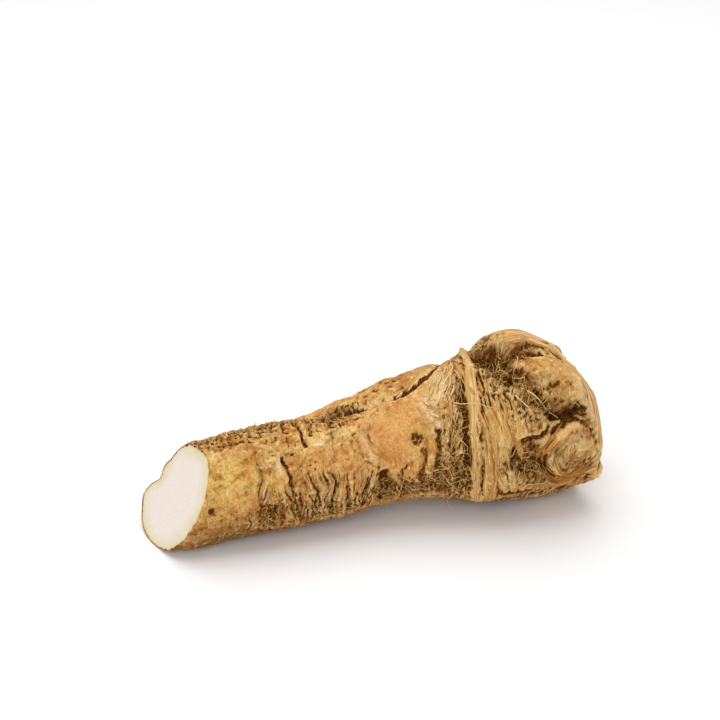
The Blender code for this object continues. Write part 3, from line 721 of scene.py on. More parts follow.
def ribbons(name, skin, x, turn, half_width, thickness, lift, seed, sides, ragged):
    """Flat strips laid along paths on the skin: x and turn are (count, steps), in millimetres and degrees.

    A strip's section is a flattened oval that follows the skin; noise makes its edges ragged, and its width
    fades to nothing at both ends.
    """
    count, steps = x.shape
    row, column = on_grid(skin, x, turn)
    per_row, per_column = sample(skin["row_mm"], row, column), sample(skin["column_mm"], row, column)
    run = unit(np.stack([np.gradient(row, axis=1) * per_row, np.gradient(column, axis=1) * per_column], -1))
    angle = np.linspace(0, 2 * np.pi, sides, endpoint=False)
    share = np.linspace(0, 1, steps)
    own = np.random.default_rng(seed).random((count, 1, 1))
    edges = np.sign(np.cos(angle)) * 3.3
    where = np.stack(np.broadcast_arrays(share[None, :, None] * 5.0, edges, own * 50), -1)
    width = half_width[..., None] * (1 + ragged * (2 * value_noise(where, seed) - 1))
    width = width * (np.sin(np.pi * np.clip(share, 0.004, 0.996)) ** STRIP_FADE)[None, :, None]
    over = width * np.cos(angle)
    at_row = row[..., None] - over * (run[..., 1] / per_row)[..., None]
    at_column = column[..., None] + over * (run[..., 0] / per_column)[..., None]
    base, normal = sample(skin["points"], at_row, at_column), sample(skin["normals"], at_row, at_column)
    loops = base + normal * (lift[..., None] + thickness / 2 * np.sin(angle))[..., None]
    loops[..., 2] = np.maximum(loops[..., 2], 0.05)
    middle = base.mean(2)
    length = np.cumsum(np.linalg.norm(np.diff(middle, axis=1, prepend=middle[:, :1]), axis=-1), axis=1)
    threads = np.stack(np.broadcast_arrays(over, (length / STRIP_STRETCH)[..., None], own * 90), -1)
    values = {"shade": np.broadcast_to(own, over.shape), "grain": threads}
    return closed_tubes(name, loops, loops[:, 0].mean(1), loops[:, -1].mean(1), values)


def strings(name, path, thickness, shade, sides):
    """Round tubes along given paths, (count, steps, 3), each thinning to about a third at its tip."""
    steps = path.shape[1]
    forward = unit(np.gradient(path, axis=1))
    side = unit(np.cross(forward, np.array([0.31, 0.52, 0.8])))
    other = np.cross(forward, side)
    angle = np.linspace(0, 2 * np.pi, sides, endpoint=False)
    taper = thickness[:, None] * np.linspace(1.0, 0.35, steps)
    ring = side[:, :, None] * np.cos(angle)[:, None] + other[:, :, None] * np.sin(angle)[:, None]
    loops = path[:, :, None] + ring * taper[..., None, None] / 2
    tone = np.broadcast_to(shade[:, None, None], loops.shape[:3])
    return closed_tubes(name, loops, path[:, 0], path[:, -1], {"shade": tone})


# A rootlet's steps, how much it curls at each, how deep its foot sits and how low it may hang
ROOTLET_STEPS, ROOTLET_CURL, ROOTLET_FOOT, ROOTLET_LOWEST = 7, 0.42, 0.2, 0.15


def make_rootlets(name, skin, patches, seed):
    """Rootlets rooted at random in soft ovals on the skin: thin tubes that lie nearly flat.

    Each starts a random way, and each step turns it a little by a random amount.
    """
    draw = np.random.default_rng(seed)
    spread = np.repeat(np.array(patches, float), [patch[4] for patch in patches], axis=0)
    count = len(spread)
    x = spread[:, 0] + spread[:, 2] * draw.normal(size=count) * 0.6
    turn = spread[:, 1] + spread[:, 3] * draw.normal(size=count) * 0.6
    row, column = on_grid(skin, x, turn)
    normal = sample(skin["normals"], row, column)
    tangent = unit(np.cross(normal, draw.normal(size=(count, 3))))
    way = unit(tangent + normal * draw.uniform(0.1, spread[:, 7])[:, None])
    lengths = spread[:, 5] * draw.uniform(0.5, 1.4, count)
    thickness = spread[:, 6] * draw.uniform(0.6, 1.3, count)
    draw = np.random.default_rng(seed + 1)
    path = [sample(skin["points"], row, column) - normal * ROOTLET_FOOT]
    for _ in range(ROOTLET_STEPS - 1):
        way = unit(way + ROOTLET_CURL * draw.normal(size=(count, 3)))
        path.append(path[-1] + way * lengths[:, None] / (ROOTLET_STEPS - 1))
    path = np.stack(path, 1)
    path[..., 2] = np.maximum(path[..., 2], ROOTLET_LOWEST)
    return strings(name, path, thickness, draw.random(count), 3)


# Patches of rootlets: x, turn, half width along x, half width in degrees, count, length, thickness, how steep
ROOTLET_PATCHES = (
    (27, 74, 7.5, 15, 170, 5, 0.5, 0.8), (30, 96, 4, 14, 70, 4.5, 0.38, 0.8),
    (-46, 79, 5, 12, 70, 3.8, 0.36, 0.8), (1.5, 80, 4, 15, 80, 4, 0.36, 0.8),
    (12, 72, 6, 11, 80, 3.8, 0.36, 0.8), (-16, 70, 22, 11, 110, 2.8, 0.32, 0.6),
    (-46, 192, 24, 13, 110, 2.2, 0.32, 0.5), (-9, 206, 8, 9, 40, 2.4, 0.34, 0.6),
    (32, 318, 9, 18, 110, 4.4, 0.36, 0.8), (-22, 315, 9, 16, 90, 3.2, 0.34, 0.7),
    (16.4, 128, 1.6, 5, 14, 2, 0.3, 0.8), (-70.7, 95, 1.6, 5, 10, 1.6, 0.3, 0.8),
)
CROWN_PATCHES = (
    (49, 188, 3, 12, 40, 4, 0.36, 0.4), (54, 161, 3.4, 9, 90, 5, 0.38, 0.6),
    (60.5, 137, 5, 11, 90, 4.6, 0.36, 0.5), (67, 124, 5, 7, 60, 4, 0.34, 0.5),
    (79, 123, 6, 5, 30, 3, 0.32, 0.4), (58.5, 80, 5, 12, 100, 4.6, 0.36, 0.6),
    (66, 62, 5, 9, 40, 4, 0.34, 0.6), (34.6, 145, 1.8, 24, 50, 3.8, 0.34, 0.8),
    (64, 165, 5, 5, 36, 3.4, 0.32, 0.6), (72, 262, 7, 9, 60, 4.4, 0.36, 0.6),
    (29.5, 125, 3, 18, 60, 4.2, 0.34, 0.7),
)

# Loose fibres: x and turn at one end, x and turn at the other, bow off the skin, thickness, shade
LOOSE_FIBRES = (
    (57.7, 139, 72.9, 114, 1.4, 0.68, 1), (55, 137, 61.1, 119, 1, 0.48, 0.9),
    (55, 172, 52.5, 160, 1, 0.36, 0.5), (60.5, 163, 57.5, 150, 1.2, 0.44, 0.8),
    (32.2, 147, 47.6, 134, 2.6, 0.42, 0.8), (25.5, 82, 33.5, 51, 2, 0.44, 0.95),
    (52, 92, 57, 99, 1.5, 0.38, 0.6), (60, 60, 70, 64, 1.6, 0.38, 0.6),
    (31, 120, 36, 96, 1.6, 0.38, 0.75), (61, 148, 57, 141, 1, 0.36, 0.6),
    (20, 80, 28, 66, 1.6, 0.38, 0.75), (12, 74, 20, 64, 1.2, 0.36, 0.8),
    (48, 200, 57, 192, 1.4, 0.36, 0.6), (60, 262, 76, 255, 1.8, 0.44, 0.8),
    (35, 300, 24, 322, 1.8, 0.4, 0.8), (50, 255, 49, 300, 1.2, 0.44, 0.7),
    (46, 60, 45, 100, 0.8, 0.4, 0.7), (22, 88, 31, 90, 1.8, 0.38, 0.8),
)
FIBRE_STEPS, FIBRE_WAVE = 26, 1.3


def smooth_path(path):
    """A path with each inner point averaged with its neighbours, several times over."""
    path = path.copy()
    for _ in range(30):
        path[:, 1:-1] = (path[:, :-2] + 2 * path[:, 1:-1] + path[:, 2:]) / 4
    return path


def make_loose_fibres(skin):
    """Long fibres over the skin: a straight way between two places, bowed off it and gently waved."""
    table = np.array(LOOSE_FIBRES)
    t = np.linspace(0, 1, FIBRE_STEPS)
    x = table[:, 0:1] + (table[:, 2:3] - table[:, 0:1]) * t
    turn = table[:, 1:2] + (table[:, 3:4] - table[:, 1:2]) * t
    row, column = on_grid(skin, x, turn)
    bow = table[:, 4:5] * np.sin(np.pi * t) + 0.15
    path = smooth_path(sample(skin["points"], row, column))
    path = path + smooth_path(sample(skin["normals"], row, column)) * bow[..., None]
    number = np.broadcast_to(np.arange(len(table))[:, None] * 7.7, x.shape)
    along = np.broadcast_to(t * 4, x.shape)
    wave = [value_noise(np.stack([along, number, number * 0 + k], -1), 41) for k in range(3)]
    path = path + FIBRE_WAVE * (np.stack(wave, -1) - 0.5) * np.sin(np.pi * t)[:, None] ** 0.5
    return strings("loose_fibres", path, table[:, 5], table[:, 6], 5)


# The strap's ribbon: where it starts and ends round the root, its steps, sides and thickness
STRAP_FROM, STRAP_TO = 216.0, 44.0
STRAP_STEPS, STRAP_SIDES, STRAP_THICK = 150, 20, 0.9


def make_strap(skin):
    """The strap of old leaf base: a broad ribbon over its raised band, its upper end lifted off the skin."""
    turn = np.linspace(STRAP_FROM, STRAP_TO, STRAP_STEPS)[None]
    x = np.interp(turn, STRAP[:, 0], STRAP[:, 1])
    uneven = value_noise(np.stack([turn / 14, 0 * turn, 0 * turn], -1), 51)
    width = 1.35 + 0.75 * ramp(turn, 120.0, 165.0) + 0.3 * uneven
    lift = 0.55 + 1.5 * ramp(turn, 196.0, STRAP_FROM) ** 2
    return ribbons("strap", calmed(skin, 5), x, turn, width, STRAP_THICK, lift, 53, STRAP_SIDES, 0.12)


# Broad old leaf bases on the crown: half width, lift and the x and turn along each
LEAF_BASES = (
    (2.9, 0.45, ((55.5, 187), (61, 184), (68, 182), (74, 179), (80, 172), (84, 162))),
    (2.3, 0.4, ((56.8, 178), (63, 175), (69, 174), (75, 170), (80, 163))),
    (2.7, 0.25, ((56, 194), (62, 192), (70, 190), (78, 186), (84, 178))),
    (2.3, 0.3, ((78, 171), (82, 163), (86, 150), (89, 135), (90.5, 118), (91, 98), (91.2, 80))),
    (1.5, 0.35, ((80, 160), (84.5, 148), (87, 136), (88.6, 124))),
    (1.6, 0.2, ((58, 214), (66, 208), (76, 204), (84, 196))),
    (1.4, 0.25, ((63, 236), (70, 226), (80, 222), (87, 214))),
)
LEAF_BASE_STEPS, LEAF_BASE_SIDES, LEAF_BASE_THICK = 70, 14, 1.5


def make_leaf_bases(skin):
    """Broad flat strips along the crown's top and rim, each laid over a smooth line through its stations."""
    t = np.linspace(0, 1, LEAF_BASE_STEPS)
    stations = [np.array(leaf[2], float) for leaf in LEAF_BASES]
    tables = [np.column_stack([np.linspace(0, 1, len(table)), table]) for table in stations]
    x, turn = (np.stack([track(t, table, k) for table in tables]) for k in (1, 2))
    width, lift = (np.array([[leaf[k]] for leaf in LEAF_BASES]) * np.ones(LEAF_BASE_STEPS) for k in (0, 1))
    return ribbons("leaf_bases", calmed(skin, 6), x, turn, width, LEAF_BASE_THICK, lift, 57,
                   LEAF_BASE_SIDES, 0.15)


# Scattered strips: count, lowest and highest x, lowest and highest turn, shortest and longest span in
# degrees, half width, lift, and how far x leans with the turn
NECK_STRIPS = (
    (9, 41.5, 46.5, 62, 118, 44, 90, 1, 0.02, -0.06), (13, 46.5, 56, 102, 122, 26, 46, 1.1, 0.02, -0.06),
    (9, 43, 51, 118, 129, 22, 36, 1, 0.02, -0.06), (30, 41, 62, 238, 340, 30, 80, 0.6, 0.14, 0),
    (20, 36, 40, 60, 190, 16, 40, 0.45, 0.3, -0.04), (16, 62, 88, 10, 50, 18, 44, 0.5, 0.14, 0),
)
SHANK_STRIPS = (
    (60, -50, 36, 52, 100, 9, 26, 0.36, 0.14, 0.02), (50, -76, -8, 172, 212, 8, 20, 0.36, 0.12, 0.03),
    (70, -70, 36, 250, 340, 10, 28, 0.42, 0.14, 0.02),
)
TORN_FLAKES = (
    (30, 25, 36, 150, 190, 8, 22, 0.32, 0.25, 0.3), (14, 20, 26, 138, 164, 6, 16, 0.32, 0.25, -0.25),
    (22, 26, 32, 108, 142, 10, 30, 0.32, 0.3, 0.1),
)
STRIP_STEPS, STRIP_SIDES, STRIP_THICK, STRIP_WAVE = 26, 6, 0.28, 0.45


def make_strips(name, skin, rows, seed):
    """Short strips scattered over the skin, each along the fibres there and gently waved, its ends lifted."""
    draw = np.random.default_rng(seed)
    xs, turns, widths, lifts = [], [], [], []
    t = np.linspace(-0.5, 0.5, STRIP_STEPS)
    for count, x0, x1, turn0, turn1, span0, span1, half_width, lift, lean in rows:
        one = (count, 1)
        middle, at = draw.uniform(x0, x1, one), draw.uniform(turn0, turn1, one)
        span = draw.uniform(span0, span1, one)
        wave = STRIP_WAVE * np.sin(2 * np.pi * (t * draw.uniform(0.5, 1.6, one) + draw.random(one)))
        turns.append(at + span * t)
        xs.append(middle + wave + lean * span * t)
        widths.append(half_width * draw.uniform(0.5, 1.5, one) + 0 * t)
        lifts.append(lift * draw.uniform(0.2, 1.0, one) + lift * draw.uniform(0, 2, one) * (2 * t) ** 4)
    x, turn, width, lift = (np.concatenate(parts) for parts in (xs, turns, widths, lifts))
    return ribbons(name, skin, x, turn, width, STRIP_THICK, lift, seed + 1, STRIP_SIDES, 0.35)


BUD_STRIP_COUNT, BUD_STRIP_STEPS, BUD_STRIP_HALF = 18, 30, 0.75


def make_bud_strips(skin):
    """Fibres that curl round the bud: arcs of ovals about its middle, most of them below and to its left."""
    at_x, at_z, half_x, half_z = BUDS[0][:4]
    draw = np.random.default_rng(61)
    one = (BUD_STRIP_COUNT, 1)
    t = np.linspace(-0.5, 0.5, BUD_STRIP_STEPS)
    rho = draw.uniform(0.55, 1.22, one) + 0.05 * np.sin(4 * t)
    angle = np.radians(draw.uniform(150, 300, one) + draw.uniform(30, 95, one) * t)
    x, z = at_x + half_x * rho * np.cos(angle), at_z + half_z * rho * np.sin(angle)
    up = z - track(x, SHANK, 2)
    out = track(x, SHANK, 3) * np.sqrt(np.clip(1 - (up / track(x, SHANK, 4)) ** 2, 0, 1))
    turn = np.degrees(np.arctan2(out, -up)) % 360
    width = BUD_STRIP_HALF * draw.uniform(0.5, 1.4, one) + 0 * t
    lift = 0.22 + 0.4 * draw.random(one) * (2 * t) ** 4
    return ribbons("bud_strips", skin, x, turn, width, 0.3, lift, 63, STRIP_SIDES, 0.4)


def linear(code):
    """An sRGB hex colour as linear red, green, blue and alpha."""
    channels = [int(code[k:k + 2], 16) / 255 for k in (1, 3, 5)]
    return [c / 12.92 if c <= 0.04045 else ((c + 0.055) / 1.055) ** 2.4 for c in channels] + [1.0]


def add(tree, kind, inputs=None, **settings):
    """One node: its settings, and for each input a value or the output that feeds it.

    A Map Range has its value at 0, from where to where at 1 and 2, and what that becomes at 3 and 4. A colour
    Mix has its share at 0, its two colours at 6 and 7, and its result at 2.
    """
    made = tree.nodes.new(kind)
    for key, value in settings.items():
        setattr(made, key, value)
    for key, value in (inputs or {}).items():
        if isinstance(value, bpy.types.NodeSocket):
            tree.links.new(value, made.inputs[key])
        else:
            made.inputs[key].default_value = value
    return made


def new_material(name, finish):
    """A material and its shader, with what is the same all over set on the shader's own sockets."""
    made = bpy.data.materials.new(name)
    made.use_nodes = True
    shader = made.node_tree.nodes["Principled BSDF"]
    for key, value in finish.items():
        shader.inputs[key].default_value = value
    return made, made.node_tree, shader


def per_mm(size):
    """A Noise Texture's scale for spots of this many millimetres, on coordinates in metres."""
    return 1000.0 / size


def corky_skin_material():
    """Corky root skin, dry and brushed clean: dull ochre with rust and straw patches, painted shade in its
    cracks.
    """
    made, tree, shader = new_material("dry corky root skin", {
        "Roughness": 0.78, "IOR": 1.42, "Specular IOR Level": 0.08})
    place = add(tree, "ShaderNodeTexCoord").outputs["Object"]
    threads = add(tree, "ShaderNodeAttribute", attribute_name="grain").outputs["Vector"]
    mask = {name: add(tree, "ShaderNodeAttribute", attribute_name=name).outputs["Fac"]
            for name in (*ZONES, "hollow", "ridge")}

    # Patches, flakes and grit by their size, and threads along the grain: what each is read at, scale,
    # detail, roughness, distortion, and how far off its pattern lies
    for name, at, scale, detail, roughness, distortion, offset in (
        ("wide", place, per_mm(14), 5, 0.6, 0, 0), ("tint", place, per_mm(8), 4, 0.6, 0, 3),
        ("blotch", place, per_mm(4.2), 6, 0.68, 0.5, 0), ("flake", place, per_mm(2.4), 5, 0.68, 0.4, 7),
        ("grit", place, per_mm(1.0), 4, 0.65, 0, 0), ("thread", threads, 1.3, 5, 0.68, 0, 0),
        ("streak", threads, 0.33, 5, 0.65, 0, 0),
    ):
        pattern = {"Vector": at, "Scale": scale, "Detail": detail, "Roughness": roughness}
        pattern["Distortion"] = distortion
        if offset:
            pattern["W"] = offset
        spots = add(tree, "ShaderNodeTexNoise", pattern, noise_dimensions="4D" if offset else "3D")
        mask[name] = spots.outputs["Fac"]

    # Long narrow plates and strands of cork, with a fine seam where two meet
    bent = add(tree, "ShaderNodeTexNoise", {"Vector": place, "Scale": per_mm(3.0), "Detail": 3.0})
    bent = add(tree, "ShaderNodeVectorMath", {0: bent.outputs["Color"], 1: threads}, operation="ADD")
    bent = bent.outputs["Vector"]
    seams = []
    for scale, width, strength in ((0.62, 0.11, 1.0), (1.3, 0.12, 0.5)):
        edge = add(tree, "ShaderNodeTexVoronoi", {"Vector": bent, "Scale": scale}, feature="DISTANCE_TO_EDGE")
        edge = edge.outputs["Distance"]
        seams.append(add(tree, "ShaderNodeMapRange", {0: edge, 1: 0, 2: width, 3: strength, 4: 0}).outputs[0])
    seam = add(tree, "ShaderNodeMath", {0: seams[0], 1: seams[1]}, operation="ADD").outputs[0]
    opened = add(tree, "ShaderNodeMapRange", {0: mask["blotch"], 1: 0.66, 2: 0.44}).outputs[0]
    for share in (mask["fibrous"], opened):
        seam = add(tree, "ShaderNodeMath", {0: seam, 1: share}, operation="MULTIPLY").outputs[0]
    mask["seam"] = seam

    # Each layer: its colour, what it follows, from where to where that brings it in, and how strong it gets
    colour = linear("#c48e4c")
    for code, follows, low, high, strength in (
        ("#e2bb72", "wide", 0.42, 0.60, 0.85), ("#e2b964", "gold", 0.1, 0.9, 0.6),
        ("#c9772e", "tint", 0.50, 0.64, 0.62), ("#985416", "blotch", 0.52, 0.62, 0.66),
        ("#f0d59c", "flake", 0.55, 0.66, 0.62), ("#8a4a16", "flake", 0.44, 0.34, 0.6),
        ("#76400f", "streak", 0.54, 0.68, 0.5), ("#dca05c", "blush", 0.1, 1.0, 0.6),
        ("#e9cd9b", "pale", 0.15, 0.9, 0.75), ("#f3dcae", "worn", 0.15, 1.0, 0.66),
        # 5e2f0b is painted shade, laid on the underside, the bottom edge and some hollows
        ("#5e2f0b", "painted_shade", 0.1, 1.2, 0.74), ("#44220a", "seam", 0.08, 0.55, 0.85),
    ):
        share = add(tree, "ShaderNodeMapRange", {0: mask[follows], 1: low, 2: high, 3: 0, 4: strength})
        colour = add(tree, "ShaderNodeMix", {0: share.outputs[0], 6: colour, 7: linear(code)},
                     data_type="RGBA").outputs[2]

    # Fine threads darken and lighten the fibrous patches, and a little of every other one
    light = add(tree, "ShaderNodeMapRange", {0: mask["thread"], 1: 0.3, 2: 0.7, 3: 0.42, 4: 1.4}).outputs[0]
    shown = add(tree, "ShaderNodeMapRange", {0: mask["fibrous"], 3: 0.28, 4: 0.9}).outputs[0]
    colour = add(tree, "ShaderNodeMix", {0: shown, 6: colour, 7: light}, data_type="RGBA",
                 blend_type="MULTIPLY").outputs[2]

    # Worn ridges are pale, and broken up by the threads
    worn = add(tree, "ShaderNodeMath", {0: mask["ridge"], 1: mask["thread"]}, operation="MULTIPLY").outputs[0]
    worn = add(tree, "ShaderNodeMapRange", {0: worn, 1: 0.10, 2: 0.42, 3: 0, 4: 0.7}).outputs[0]

    # Raw tissue is brown, in tangled light and dark
    tangle = add(tree, "ShaderNodeMapRange", {0: mask["flake"], 1: 0.42, 2: 0.6}).outputs[0]
    brown = add(tree, "ShaderNodeMix", {0: tangle, 6: linear("#301302"), 7: linear("#9e6120")},
                data_type="RGBA").outputs[2]
    raw = add(tree, "ShaderNodeMath", {0: mask["raw"], 1: mask["grit"], 2: -0.12},
              operation="MULTIPLY_ADD").outputs[0]
    raw = add(tree, "ShaderNodeMath", {0: mask["raw"], 1: raw}, operation="ADD").outputs[0]
    raw = add(tree, "ShaderNodeMapRange", {0: raw, 1: 0.32, 2: 1.0, 3: 0, 4: 0.85}).outputs[0]

    # Painted shade, with earth and straw in it, darkens every crack and hollow
    deep = add(tree, "ShaderNodeMath", {0: mask["thread"], 1: 2.0, 2: 0.1},
               operation="MULTIPLY_ADD").outputs[0]
    deep = add(tree, "ShaderNodeMath", {0: mask["hollow"], 1: deep}, operation="MULTIPLY").outputs[0]
    speckle = add(tree, "ShaderNodeMath", {0: mask["grit"], 1: 0.5, 2: -0.25},
                  operation="MULTIPLY_ADD").outputs[0]
    deep = add(tree, "ShaderNodeMath", {0: deep, 1: speckle}, operation="ADD").outputs[0]
    deep = add(tree, "ShaderNodeMapRange", {0: deep, 1: 0.14, 2: 0.64, 3: 0, 4: 0.99}).outputs[0]
    shade_and_earth = add(tree, "ShaderNodeMapRange", {0: mask["grit"], 1: 0.42, 2: 0.58}).outputs[0]
    shade_and_earth = add(tree, "ShaderNodeMix", {0: shade_and_earth, 6: linear("#241002"), 7: linear("#6b3b0e")},
                data_type="RGBA").outputs[2]
    straw = add(tree, "ShaderNodeMapRange", {0: mask["thread"], 1: 0.56, 2: 0.66}).outputs[0]
    shade_and_earth = add(tree, "ShaderNodeMix", {0: straw, 6: shade_and_earth, 7: linear("#b5792e")},
                data_type="RGBA").outputs[2]

    # Cork grains, each a little lighter or darker, and dark pores scattered among them
    grains = add(tree, "ShaderNodeMapRange", {0: mask["grit"], 1: 0.35, 2: 0.65, 3: 0.8, 4: 1.22}).outputs[0]
    pores = add(tree, "ShaderNodeMapRange", {0: mask["grit"], 1: 0.64, 2: 0.74, 3: 0, 4: 0.5}).outputs[0]
    for share, over, way in (
        (worn, linear("#eec98a"), "MIX"), (raw, brown, "MIX"), (deep, shade_and_earth, "MIX"),
        (1.0, grains, "MULTIPLY"), (pores, linear("#6b3c12"), "MIX"),
    ):
        colour = add(tree, "ShaderNodeMix", {0: share, 6: colour, 7: over}, data_type="RGBA",
                     blend_type=way).outputs[2]
    tree.links.new(colour, shader.inputs["Base Color"])

    # Threads stand up, seams lie sunk between them, and grit lies over both
    sunk = add(tree, "ShaderNodeMath", {0: seam, 1: -0.6, 2: mask["thread"]},
               operation="MULTIPLY_ADD").outputs[0]
    bump = add(tree, "ShaderNodeBump", {"Height": sunk, "Distance": 0.5 * MM, "Strength": 0.85})
    bump = add(tree, "ShaderNodeBump", {"Height": mask["grit"], "Distance": 0.35 * MM, "Strength": 0.7,
                                        "Normal": bump.outputs["Normal"]})
    tree.links.new(bump.outputs["Normal"], shader.inputs["Normal"])
    return made


def flesh_material():
    """Fresh root flesh, cut with a knife: cream white, damp, a little translucent, faintly ringed."""
    made, tree, shader = new_material("fresh cut root flesh", {
        "Roughness": 0.5, "IOR": 1.38, "Subsurface Weight": 0.15,
        "Subsurface Radius": (0.003, 0.002, 0.001), "Subsurface Scale": 1.0})
    place = add(tree, "ShaderNodeTexCoord").outputs["Object"]
    depth = add(tree, "ShaderNodeAttribute", attribute_name="depth").outputs["Fac"]
    cloud = add(tree, "ShaderNodeTexNoise", {"Vector": place, "Scale": per_mm(7), "Detail": 4.0})
    fibre = add(tree, "ShaderNodeTexNoise", {"Vector": place, "Scale": per_mm(0.9), "Detail": 3.0})
    fibre = fibre.outputs["Fac"]
    wavy = add(tree, "ShaderNodeMath", {0: cloud.outputs["Fac"], 1: 9.0, 2: -4.5},
               operation="MULTIPLY_ADD").outputs[0]
    wavy = add(tree, "ShaderNodeMath", {0: depth, 1: wavy}, operation="ADD").outputs[0]
    near_skin = add(tree, "ShaderNodeMapRange", {0: wavy, 1: 6.5, 2: -1.0}).outputs[0]
    rim = add(tree, "ShaderNodeMapRange", {0: depth, 1: 0.4, 2: 0.0, 4: 0.6}).outputs[0]
    pale = add(tree, "ShaderNodeMapRange", {0: fibre, 1: 0.3, 2: 0.7, 3: 0.95, 4: 1.03}).outputs[0]
    colour = linear("#eaded3")
    for share, over, way in (
        (near_skin, linear("#dccf9f"), "MIX"), (rim, linear("#93693a"), "MIX"), (1.0, pale, "MULTIPLY"),
    ):
        colour = add(tree, "ShaderNodeMix", {0: share, 6: colour, 7: over}, data_type="RGBA",
                     blend_type=way).outputs[2]
    tree.links.new(colour, shader.inputs["Base Color"])
    bump = add(tree, "ShaderNodeBump", {"Height": fibre, "Distance": 0.15 * MM, "Strength": 0.5})
    tree.links.new(bump.outputs["Normal"], shader.inputs["Normal"])
    return made


def fibre_material(name, dark, middle, light, roughness, spread):
    """Dried plant fibre: threads along the strip, and each strip lighter or darker, up to a spread."""
    made, tree, shader = new_material(name, {"Roughness": roughness, "Specular IOR Level": 0.15})
    threads = add(tree, "ShaderNodeAttribute", attribute_name="grain").outputs["Vector"]
    shade = add(tree, "ShaderNodeAttribute", attribute_name="shade").outputs["Fac"]
    thread = add(tree, "ShaderNodeTexNoise", {
        "Vector": threads, "Scale": 1.6, "Detail": 4.0, "Roughness": 0.6}).outputs["Fac"]
    tone = add(tree, "ShaderNodeMapRange", {0: thread, 1: 0.3, 2: 0.7, 3: -0.55, 4: 0.5}).outputs[0]
    own = add(tree, "ShaderNodeMapRange", {0: shade, 3: 0.5 - spread, 4: 0.5 + spread}).outputs[0]
    tone = add(tree, "ShaderNodeMath", {0: own, 1: tone}, operation="ADD").outputs[0]
    colour = linear(dark)
    for over, low, high in ((middle, -0.1, 0.5), (light, 0.5, 1.1)):
        share = add(tree, "ShaderNodeMapRange", {0: tone, 1: low, 2: high})
        colour = add(tree, "ShaderNodeMix", {0: share.outputs[0], 6: colour, 7: linear(over)},
                     data_type="RGBA").outputs[2]
    tree.links.new(colour, shader.inputs["Base Color"])
    bump = add(tree, "ShaderNodeBump", {"Height": thread, "Distance": 0.35 * MM, "Strength": 0.8})
    tree.links.new(bump.outputs["Normal"], shader.inputs["Normal"])
    return made


def rootlet_material(name, dark, light):
    """Dry rootlets and hairs: dull, from brown to straw, one tone to each."""
    made, tree, shader = new_material(name, {
        "Roughness": 0.7, "Specular IOR Level": 0.05, "Subsurface Weight": 0.1,
        "Subsurface Radius": (0.0012, 0.0008, 0.0004), "Subsurface Scale": 1.0})
    shade = add(tree, "ShaderNodeAttribute", attribute_name="shade").outputs["Fac"]
    colour = add(tree, "ShaderNodeMix", {0: shade, 6: linear(dark), 7: linear(light)}, data_type="RGBA")
    tree.links.new(colour.outputs[2], shader.inputs["Base Color"])
    return made


def settle(piece, material):
    """Gives a piece its material and its body."""
    piece.data.materials.clear()
    piece.data.materials.append(material)
    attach(piece, BODY)
    return piece


def turned(made, at, away, side):
    """Puts a camera or a light at a place in metres, its back and its right side along given ways."""
    up = np.cross(away, side)
    place = Matrix.Identity(4)
    for k in range(3):
        place[k][0], place[k][1], place[k][2], place[k][3] = side[k], up[k], away[k], at[k]
    made.matrix_world = place
    bpy.context.scene.collection.objects.link(made)


# The camera: how far round and up it stands, its lens, its distance and the point that it looks at
CAMERA_TURN, CAMERA_RISE = math.radians(-16.5), math.radians(28.0)
CAMERA_LENS, CAMERA_AWAY = 85.0, 690.0
CAMERA_AIM = np.array([-3.0, 0.0, 72.0]) + FORMULA_AT


def place_camera():
    """The camera stands on a sphere round its aim, level, and looks at it."""
    level = math.cos(CAMERA_RISE)
    back = np.array([math.sin(CAMERA_TURN) * level, -math.cos(CAMERA_TURN) * level, math.sin(CAMERA_RISE)])
    lens = bpy.data.cameras.new("camera")
    lens.lens, lens.sensor_width = CAMERA_LENS, 36.0
    lens.clip_start, lens.clip_end = 0.01, 20.0
    camera = bpy.data.objects.new("camera", lens)
    right = np.array([math.cos(CAMERA_TURN), math.sin(CAMERA_TURN), 0.0])
    turned(camera, (CAMERA_AIM + back * CAMERA_AWAY) * MM, back, right)
    bpy.context.scene.camera = camera


# Soft lights: place in metres, side, power in watts and colour; each is turned to the root's middle
LIGHTS = {
    "soft light above": ((0.03, 0.31, 0.97), 1.25, 7.9, (1.0, 0.99, 0.97)),
    "soft light in front": ((-0.7, -1.0, 0.75), 0.8, 4.8, (1.0, 1.0, 1.0)),
}
LIGHT_AIM = np.array([0.0, 0.0, 0.03])
FLOOR_SIDE, WORLD_STRENGTH = 8.0, 0.61


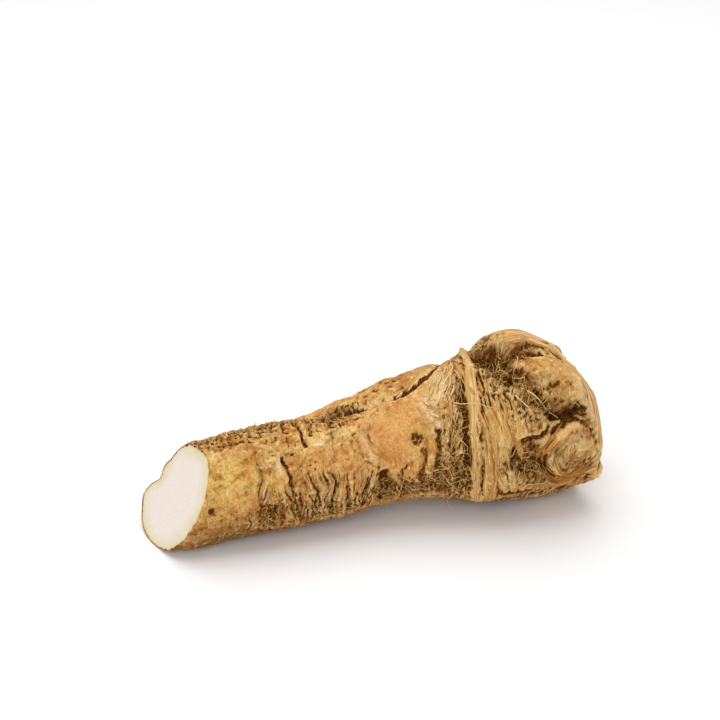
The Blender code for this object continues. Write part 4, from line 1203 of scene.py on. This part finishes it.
def set_stage():
    """A white floor under soft light: one large light above and behind, and a weaker one from the front."""
    half = FLOOR_SIDE / 2
    mesh = bpy.data.meshes.new("floor")
    corners = [(-half, -half, 0), (half, -half, 0), (half, half, 0), (-half, half, 0)]
    mesh.from_pydata(corners, [], [(0, 1, 2, 3)])
    floor = bpy.data.objects.new("floor", mesh)
    mesh.materials.append(new_material("white studio floor", {
        "Base Color": (0.93, 0.93, 0.94, 1.0), "Roughness": 0.9, "Specular IOR Level": 0.1})[0])
    bpy.context.scene.collection.objects.link(floor)
    for name, (at, size, watts, colour) in LIGHTS.items():
        lamp = bpy.data.lights.new(name, "AREA")
        lamp.shape, lamp.size, lamp.energy, lamp.color = "SQUARE", size, watts, colour
        away = unit(np.array(at) - LIGHT_AIM)
        turned(bpy.data.objects.new(name, lamp), at, away, unit(np.cross([0.0, 0.05, 1.0], away)))
    world = bpy.data.worlds.new("studio")
    world.use_nodes = True
    background = world.node_tree.nodes["Background"]
    background.inputs["Color"].default_value = (1.0, 1.0, 1.0, 1.0)
    background.inputs["Strength"].default_value = WORLD_STRENGTH
    bpy.context.scene.world = world
    bpy.context.scene.view_settings.view_transform = "Standard"


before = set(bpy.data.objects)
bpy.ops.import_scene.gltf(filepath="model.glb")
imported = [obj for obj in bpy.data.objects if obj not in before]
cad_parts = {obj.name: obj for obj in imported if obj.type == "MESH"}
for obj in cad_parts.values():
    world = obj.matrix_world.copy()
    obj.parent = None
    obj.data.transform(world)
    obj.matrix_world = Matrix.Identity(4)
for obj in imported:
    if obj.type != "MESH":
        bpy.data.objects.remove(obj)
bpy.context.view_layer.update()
place_camera()
set_stage()
root = grow_skin()

skin_piece = settle(make_skin(root), corky_skin_material())
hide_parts(NODE)
settle(make_cut_face(root), flesh_material())
leaf_base = fibre_material("dried leaf base", "#b98a48", "#e3c384", "#f6e6bd", 0.65, 0.3)
peel = fibre_material("dry peeling cork", "#7a4514", "#be833a", "#e5b365", 0.75, 0.4)
settle(make_strap(root), leaf_base)
old_leaf_base = fibre_material("old brown leaf base", "#784818", "#d6a769", "#f4d8a6", 0.7, 0.12)
settle(make_leaf_bases(root), old_leaf_base)
calm_root = calmed(root, 2)
golden = fibre_material("golden bands of the neck", "#84501c", "#c8964c", "#e6c07c", 0.7, 0.22)
settle(make_strips("neck_strips", calm_root, NECK_STRIPS, 71), golden)
settle(make_strips("shank_strips", calm_root, SHANK_STRIPS, 73), peel)
torn = fibre_material("pale torn cork", "#a06c32", "#dcb272", "#f4dba6", 0.75, 0.35)
settle(make_strips("torn_flakes", calm_root, TORN_FLAKES, 75), torn)
settle(make_bud_strips(root), peel)
rootlets = rootlet_material("dry rootlets", "#7a4410", "#ffd07a")
settle(make_rootlets("shank_rootlets", root, ROOTLET_PATCHES, 81), rootlets)
settle(make_rootlets("crown_rootlets", root, CROWN_PATCHES, 83), rootlets)
loose_fibre = rootlet_material("pale loose fibre", "#a86e2a", "#ffdf9e")
settle(make_loose_fibres(root), loose_fibre)
